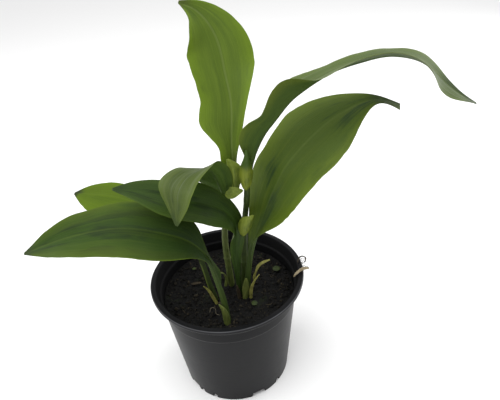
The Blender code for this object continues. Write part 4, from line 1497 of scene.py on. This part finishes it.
def small_leaves() -> list[SmallLeaf]:
    """List the bracts, bud sheaths and scales.

    Returns:
        The small leaves, from the bracts to the old sheath.
    """
    def made(node: str, slot: str, skin: SkinFinish, seed: int,
             *stations: Sequence[float]) -> SmallLeaf:
        """Return one small leaf."""
        return SmallLeaf(node, slot, BRIGHT_UPPER, BRIGHT_LOWER, stations, seed=seed, skin=skin)

    return [
        made("clasping_bract", "pale_sheath", BRACT_SKIN, 11,
             (13.5, -3.5, 188.5, 4.5, 2.5, 0, 1, 0.1, 10, 40),
             (14.5, -4.5, 197, 6.5, 4, 0, 1, 0.1, 10, 40),
             (15, -4.5, 205.5, 7, 4.5, 0, 1, 0.1, 10, 35),
             (13, -3.5, 211, 4.5, 3.5, 0, 1, 0.1, 10, 30),
             (11, -2, 215.5, 0.8, 0.8, 0, 1, 0.1, 10, 20)),
        made("curled_bract", "green_leaf", BRACT_SKIN, 12,
             (6.5, -11.5, 192.5, 1.5, 1.5, 0.1, -0.6, 0.8, 5, 20),
             (9, -12.3, 192, 4.5, 4, 0.1, -0.6, 0.8, 5, 20),
             (13, -12.3, 192.5, 4.8, 4.2, 0.1, -0.6, 0.8, 5, 20),
             (16.5, -12, 193, 3, 2.5, 0.1, -0.6, 0.8, 5, 20),
             (19.5, -11, 193, 0.8, 0.8, 0.1, -0.6, 0.8, 5, 20)),
        made("upper_bud", "pale_sheath", SHOOT_BUD, 13,
             (21.5, -17, 197, 2.5, 2.5, 0, 1, 0.1, 10, 40),
             (22, -18, 200, 5.2, 5.2, 0, 1, 0.1, 10, 60),
             (22.5, -19, 207.5, 7, 7, 0, 1, 0.1, 10, 60),
             (23, -19.4, 215, 5.8, 5.8, 0, 1, 0.1, 10, 60),
             (23.5, -19.8, 222, 3, 3, 0, 1, 0.1, 10, 50),
             (24, -19.2, 230, 0.7, 0.7, 0, 1, 0.1, 10, 30)),
        made("lower_bud", "pale_sheath", BUD_SKIN, 14,
             (16, -18, 157, 3, 3, 0, 1, 0.1, 10, 40),
             (17, -20, 160.5, 5.6, 5.6, 0, 1, 0.1, 10, 55),
             (18.5, -21.5, 167, 6.8, 6.8, 0, 1, 0.1, 10, 55),
             (21.5, -21.5, 172, 5.4, 5.4, 0, 1, 0.1, 10, 50),
             (23.5, -20.8, 174, 2.8, 2.8, 0, 1, 0.1, 10, 40),
             (25, -20, 176, 0.7, 0.7, 0, 1, 0.1, 10, 30)),
        made("stem_sheath", "pale_sheath", PALE_SHEATH, 15,
             (12.6, -16, 88, 2.4, 2.4, 0.1, 1, 0, 10, 35),
             (13.4, -16.6, 95, 3.2, 3.2, 0.1, 1, 0, 10, 35),
             (14.3, -17.2, 105, 2.8, 2.8, 0.1, 1, 0, 10, 30),
             (15, -17.6, 113, 0.7, 0.7, 0.1, 1, 0, 10, 20)),
        made("upper_scale", "dry_scale", DRY_SCALE, 16,
             (21.9, -13, 105.5, 1.6, 1.6, -0.7, 0.4, 0.6, 10, 30),
             (23.6, -13.6, 114, 2.8, 2.8, -0.6, 0.3, 0.7, 10, 30),
             (28, -13, 121, 2.6, 2.6, -0.4, 0.2, 0.9, 10, 25),
             (36, -12, 124.3, 0.6, 0.6, 0, 0, 1, 10, 20)),
        made("lower_scale", "dry_scale", DRY_SCALE, 17,
             (17.8, -16.6, 89.5, 1.8, 1.8, -0.5, 0.6, 0.2, 10, 30),
             (19, -17.6, 100, 2.4, 2.4, -0.5, 0.6, 0.2, 10, 30),
             (21.8, -17.6, 108.5, 2, 2, -0.5, 0.6, 0.4, 10, 25),
             (26, -16.8, 114.5, 0.6, 0.6, -0.5, 0.4, 0.5, 10, 20)),
        made("pale_stem_scale", "pale_sheath", PALE_SHEATH, 18,
             (-2.6, 0, 92, 1.8, 1.8, 0.9, 0.5, 0.2, 10, 30),
             (-1.6, -0.6, 99.5, 2.2, 2.2, 0.9, 0.4, 0.2, 10, 30),
             (-2.8, -1.6, 107, 1.7, 1.7, 0.6, 0.3, 0.8, 10, 20),
             (-6.6, -3, 110.4, 0.6, 0.6, 0.2, 0.1, 1, 10, 10)),
        made("low_leaf_sheath", "pale_sheath", PALE_SHEATH, 19,
             (-4.6, -41.9, 88, 2.7, 2.7, 0, 1, 0.2, 10, 25),
             (-4.9, -42.3, 98, 2.9, 2.9, 0, 1, 0.2, 10, 25),
             (-6.4, -42.4, 106.5, 1.9, 1.9, 0, 1, 0.2, 10, 20),
             (-9, -42.3, 112.5, 0.5, 0.5, 0, 1, 0.2, 10, 10)),
        made("back_leaf_scale", "dry_scale", DRY_SCALE, 20,
             (-11.8, -16.4, 88, 1.8, 1.8, 0.4, 0.9, 0.2, 10, 30),
             (-14.6, -15.9, 96.5, 2, 2, 0.4, 0.9, 0.2, 10, 30),
             (-17.3, -15.2, 104, 1.4, 1.4, 0.4, 0.9, 0.2, 10, 20),
             (-20.2, -15, 108.4, 0.5, 0.5, 0.4, 0.9, 0.2, 10, 10)),
        made("old_sheath", "brown_sheath", OLD_SHEATH, 21,
             (8.2, -14.4, 88, 1.8, 1.8, 0, 1, 0, 10, 30),
             (7.9, -15.3, 95, 1.8, 1.8, 0, 1, 0, 10, 30),
             (7.3, -16.2, 101, 1.3, 1.3, 0, 1, 0, 10, 25),
             (6.8, -16.6, 106, 0.5, 0.5, 0, 1, 0, 10, 10)),
    ]


# ------------------------------------------------------------------ stems, roots and bits


@dataclass
class Tube:
    """A stem or root: a round section carried along a smooth path.

    Attributes:
        node: The CAD node that the tube stands for.
        slot: The record's material slot; not used.
        skin: Its finish.
        points: Rows of x, y, z and radius.
        roughness: How far the radius wanders, as a share of it.
        rings: Shares of the length where a raised joint runs round the stem.
        ring_swell: How far a joint stands out, as a share of the radius.
        ring_width: Width of a joint, as a share of the length.
        knob: Size of the skin's unevenness, in mean radii.
    """

    node: str
    slot: str
    skin: SkinFinish
    points: Rows
    roughness: float = 0.06
    rings: tuple[float, ...] = ()
    ring_swell: float = 0.16
    ring_width: float = 0.012
    knob: float = 2.6
    seed: int = 1
    steps_along: int = 160
    steps_round: int = 36

    def mesh(self) -> bpy.types.Mesh:
        """Make the tube.

        The radius follows the rows, wanders with noise, swells at each ring by a bell curve
        and draws in at both ends along a quarter circle.

        Returns:
            The new mesh.
        """
        rows = np.array(self.points, dtype=float)
        chord = np.linalg.norm(np.diff(rows[:, :3], axis=0), axis=1)
        knots = np.concatenate(([0.0], np.cumsum(chord)))
        place = np.linspace(0.0, knots[-1], self.steps_along)
        fine = natural_spline(knots, rows, place)
        sideways, upward = path_frames(fine[:, :3])
        turn = np.linspace(0.0, 2.0 * np.pi, self.steps_round, endpoint=False)
        round_way = (sideways[:, None] * np.cos(turn)[None, :, None]
                     + upward[:, None] * np.sin(turn)[None, :, None])
        radius = fine[:, 3]
        share = place / knots[-1]
        swell = sum((self.ring_swell * np.exp(-((share - ring) / self.ring_width) ** 2)
                     for ring in self.rings), np.zeros_like(place))
        end = np.minimum(place, knots[-1] - place) / radius
        cap = np.sqrt(np.clip(1.0 - (1.0 - np.clip(end, 0.0, 1.0)) ** 2, 0.02, 1.0))
        surface = fine[:, None, :3] + round_way * radius[:, None, None]
        uneven = lattice_noise(surface, self.knob * float(radius.mean()), self.seed)
        wander = 1.0 + self.roughness * uneven
        reach = radius[:, None] * wander * (1.0 + swell)[:, None] * cap[:, None]
        return Sheet(fine[:, None, :3] + round_way * reach[..., None]).mesh(f"{self.node}_skin")

    def build(self) -> None:
        """Make the tube and dress it."""
        material = self.skin.material(f"{self.node}_skin", float(self.seed))
        add_piece(self.mesh(), [material], [self.node])


def tubes() -> list[Tube]:
    """List the stems and the roots that show.

    Returns:
        The stems, then the roots.
    """
    return [
        Tube("main_stem", "green_stem", GREEN_STEM,
             ((12.8, -3.6, 87.6, 2.6), (16, -5, 125, 2.6), (19.3, -3.4, 160, 2.3),
              (22.1, -8.6, 185, 2.3), (23.3, -12, 205.5, 2.1)), rings=(0.28, 0.62), seed=31),
        Tube("pale_stem", "pale_stem_skin", PALE_STEM,
             ((3, 3.5, 87.6, 2.9), (2.2, 3.5, 115, 2.7), (2.4, 3.5, 143, 2.5),
              (5.6, 3.5, 166, 2.3), (9.4, 3.2, 184.5, 2.1)), rings=(0.33, 0.7), seed=32),
        Tube("rim_root", "root", ROOT_SKIN,
             ((54.5, -15, 104.8, 0.6), (57.5, -13.5, 107.2, 1.0), (60.3, -11.8, 107.8, 1.1),
              (63.7, -9.9, 107.9, 1.1), (66.5, -9.4, 107.6, 1.0), (69.2, -9.2, 106.8, 0.5)),
             roughness=0.25, seed=33),
        Tube("root_curl", "brown_sheath", OLD_SHEATH,
             ((61, -1, 107.5, 0.5), (62.6, 3.5, 107.6, 0.6), (65.3, 5.7, 108.2, 0.6),
              (67.8, 4, 108.8, 0.5), (68.3, 0.5, 108.8, 0.5), (66.2, -2.4, 108.2, 0.4)),
             roughness=0.25, seed=34),
        Tube("root_hair", "root", HAIR_SKIN,
             ((-18, -26, 89, 0.25), (-16, -24, 92, 0.25), (-13, -26, 92, 0.25),
              (-13, -29, 90.5, 0.25), (-10, -31, 89.5, 0.25)), roughness=0.2, seed=35),
    ]


@dataclass
class RimHairs:
    """Fine hair roots caught on the pot's lip beside the stray root.

    Attributes:
        strands: How many there are.
        corner: The nearest corner of the patch where they start.
        spread: The patch's size along X, Y and Z.
        thickness: Radius of a strand.
    """

    strands: int = 16
    corner: tuple[float, float, float] = (62.5, -13.0, 106.7)
    spread: tuple[float, float, float] = (3.5, 17.0, 0.8)
    thickness: float = 0.2
    finish: CrumbFinish = field(default_factory=lambda: CrumbFinish(pale=(0.30, 0.26, 0.20)))

    def mesh(self) -> bpy.types.Mesh:
        """Make the hairs.

        Each sets off outwards over the lip and turns at a steady rate, so its path is the
        running sum of its heading. It rises by a half sine wave and droops with the square
        of the way along.

        Returns:
            The new mesh, with each hair's tone.
        """
        random = np.random.default_rng(29)
        along = np.linspace(0.0, 1.0, 24)
        start = np.array(self.corner) + random.random((self.strands, 3)) * self.spread
        length = 3.0 + 6.0 * random.random((self.strands, 1))
        bend = 9.0 * (random.random((self.strands, 1)) - 0.5)
        angle = 1.8 * (random.random((self.strands, 1)) - 0.5) + bend * along
        px = start[:, :1] + np.cumsum(np.cos(angle), axis=1) * length / len(along)
        py = start[:, 1:2] + np.cumsum(np.sin(angle), axis=1) * length / len(along)
        lift = 2.2 * random.random((self.strands, 1)) * np.sin(np.pi * along)
        pz = start[:, 2:] + lift - 1.5 * random.random((self.strands, 1)) * along ** 2
        radius = self.thickness * (1.0 - 0.7 * along) * np.ones_like(angle)
        tone = random.random(self.strands) ** 2
        return strand_mesh("rim_hairs", np.stack((px, py, pz), axis=-1), angle, radius, tone)

    def build(self) -> None:
        """Make the hairs and dress them."""
        add_piece(self.mesh(), [self.finish.material("rim_hairs")], [])


@dataclass
class SoilBit:
    """A small leaflet or flake on the soil: a flattened, slightly dished ball.

    Attributes:
        node: The CAD node that the bit stands for.
        slot: The record's material slot; not used.
        skin: Its finish.
        centre: Its middle.
        half_lengths: Half its size along X, Y and Z.
        pole: Angle between each pole and its nearest ring, in radians.
        dish: How far the rim rises, in half-heights.
        rumple: How far the surface wanders, as a share of the radius.
    """

    node: str
    slot: str
    skin: SkinFinish
    centre: tuple[float, float, float]
    half_lengths: tuple[float, float, float]
    seed: int
    pole: float = 0.06
    dish: float = 0.35
    rumple: float = 0.1

    def mesh(self) -> bpy.types.Mesh:
        """Make the bit: latitude and longitude on a ball, stretched, dished and rumpled.

        Returns:
            The new mesh.
        """
        latitude = np.linspace(self.pole, np.pi - self.pole, 24)[:, None]
        longitude = np.linspace(0.0, 2.0 * np.pi, 40, endpoint=False)[None, :]
        ball = np.stack((np.sin(latitude) * np.cos(longitude), np.sin(latitude) * np.sin(longitude),
                         np.cos(latitude) * np.ones_like(longitude)), axis=-1)
        uneven = lattice_noise(ball * 3.0, 1.4, self.seed)[..., None]
        points = ball * (1.0 + self.rumple * uneven)
        points[..., 2] += self.dish * (ball[..., 0] ** 2 + ball[..., 1] ** 2)
        return Sheet(points * self.half_lengths + np.array(self.centre)).mesh(f"{self.node}_skin")

    def build(self) -> None:
        """Make the bit and dress it."""
        material = self.skin.material(f"{self.node}_skin", float(self.seed))
        add_piece(self.mesh(), [material], [self.node])


def soil_bits() -> list[SoilBit]:
    """List the leaflets and flakes on the soil.

    Returns:
        The leaflets and flakes.
    """
    return [
        SoilBit("round_leaflet", "soil_greens", GREEN_BITS, (44.4, 14.6, 90.4), (3.4, 3.4, 0.8), 41),
        SoilBit("small_leaflet", "soil_greens", GREEN_BITS, (19.5, -24, 90.2), (2.4, 2.8, 0.9), 42),
        SoilBit("dry_bit", "brown_sheath", OLD_SHEATH, (-27.8, 10.8, 89.6), (4.6, 1.6, 0.5), 43),
        SoilBit("moss_bit", "soil_greens", GREEN_BITS, (-29, 30.5, 89.7), (1.7, 1.6, 0.7), 44),
    ]


# ------------------------------------------------------------------ studio


@dataclass(frozen=True)
class Softbox:
    """A rectangular soft light: its place and size in metres, and its power in watts."""

    name: str
    place: tuple[float, float, float]
    size: tuple[float, float]
    power: float


@dataclass
class Studio:
    """The floor, the soft lights and the camera.

    Attributes:
        eye: Place of the camera, in metres.
        yaw: Turn of the view from +Y towards +X, in degrees.
        pitch: How far the view looks down, in degrees.
        roll: Turn of the picture about the view, in degrees.
        lens: Focal length in millimetres.
        sensor: Width of the sensor in millimetres.
        floor_reach: Distance from the pot to the floor's sides, in metres.
        floor_tone: Lightness of the floor.
        world_strength: Strength of the light from all round.
        aim: What the soft lights look at, in metres.
        softboxes: The soft lights.
    """

    eye: tuple[float, float, float] = (0.0, -0.3228, 0.3886)
    yaw: float = 4.44
    pitch: float = 33.23
    roll: float = -4.98
    lens: float = 36.0
    sensor: float = 36.0
    floor_reach: float = 6.0
    floor_tone: float = 0.93
    world_strength: float = 0.85
    aim: tuple[float, float, float] = (0.0, 0.0, 0.15)
    softboxes: tuple[Softbox, ...] = (
        Softbox("overhead", (-0.35, -0.25, 1.3), (1.1, 1.1), 11.0),
        Softbox("right_back", (1.0, 0.45, 0.55), (0.7, 1.0), 6.0),
        Softbox("left_back", (-1.0, 0.35, 0.5), (0.6, 1.0), 3.5),
    )

    def floor(self) -> None:
        """Lay a wide pale floor under the pot."""
        mesh = bpy.data.meshes.new("floor")
        reach = self.floor_reach
        mesh.from_pydata([(-reach, -reach, 0), (reach, -reach, 0), (reach, reach, 0),
                          (-reach, reach, 0)], [], [(0, 1, 2, 3)])
        graph = Graph("floor")
        mesh.materials.append(graph.finish((self.floor_tone,) * 3, 0.9))
        plane = bpy.data.objects.new("floor", mesh)
        bpy.context.scene.collection.objects.link(plane)

    def world(self) -> None:
        """Fill the room with soft white light."""
        world = bpy.data.worlds.new("room")
        world.use_nodes = True
        back = world.node_tree.nodes["Background"]
        back.inputs["Color"].default_value = (1.0, 1.0, 1.0, 1.0)
        back.inputs["Strength"].default_value = self.world_strength
        bpy.context.scene.world = world

    def hang(self, box: Softbox) -> None:
        """Hang a soft light that looks at the plant.

        Args:
            box: The light.
        """
        light = bpy.data.lights.new(box.name, "AREA")
        light.shape = "RECTANGLE"
        light.size, light.size_y = box.size
        light.energy = box.power
        lamp = bpy.data.objects.new(box.name, light)
        lamp.location = box.place
        heading = Vector(self.aim) - Vector(box.place)
        lamp.rotation_euler = heading.to_track_quat("-Z", "Y").to_euler()
        bpy.context.scene.collection.objects.link(lamp)

    def camera(self) -> None:
        """Set the camera at the angle from which the plant is shown."""
        yaw, pitch, roll = (math.radians(angle) for angle in (self.yaw, self.pitch, self.roll))
        ahead = Vector((math.sin(yaw) * math.cos(pitch), math.cos(yaw) * math.cos(pitch),
                        -math.sin(pitch)))
        level = Vector((math.cos(yaw), -math.sin(yaw), 0.0))
        above = level.cross(ahead)
        right = level * math.cos(roll) + above * math.sin(roll)
        up = above * math.cos(roll) - level * math.sin(roll)
        data = bpy.data.cameras.new("camera")
        data.lens = self.lens
        data.sensor_width = self.sensor
        data.clip_start = 0.01
        camera = bpy.data.objects.new("camera", data)
        turn = Matrix((right, up, -ahead)).transposed().to_4x4()
        camera.matrix_world = Matrix.Translation(self.eye) @ turn
        bpy.context.scene.collection.objects.link(camera)
        bpy.context.scene.camera = camera

    def build(self) -> None:
        """Set up the whole studio."""
        self.floor()
        self.world()
        for box in self.softboxes:
            self.hang(box)
        self.camera()
        bpy.context.scene.view_settings.view_transform = "Standard"


def main() -> None:
    """Build the plant, its pot and the studio."""
    logging.basicConfig(level=logging.INFO, format="%(message)s")
    pieces = [NurseryPot(), SoilBed(), *leaves(), *small_leaves(), *tubes(), RimHairs(),
              *soil_bits()]
    for piece in pieces:
        piece.build()
    Studio().build()


if __name__ == "__main__":
    main()
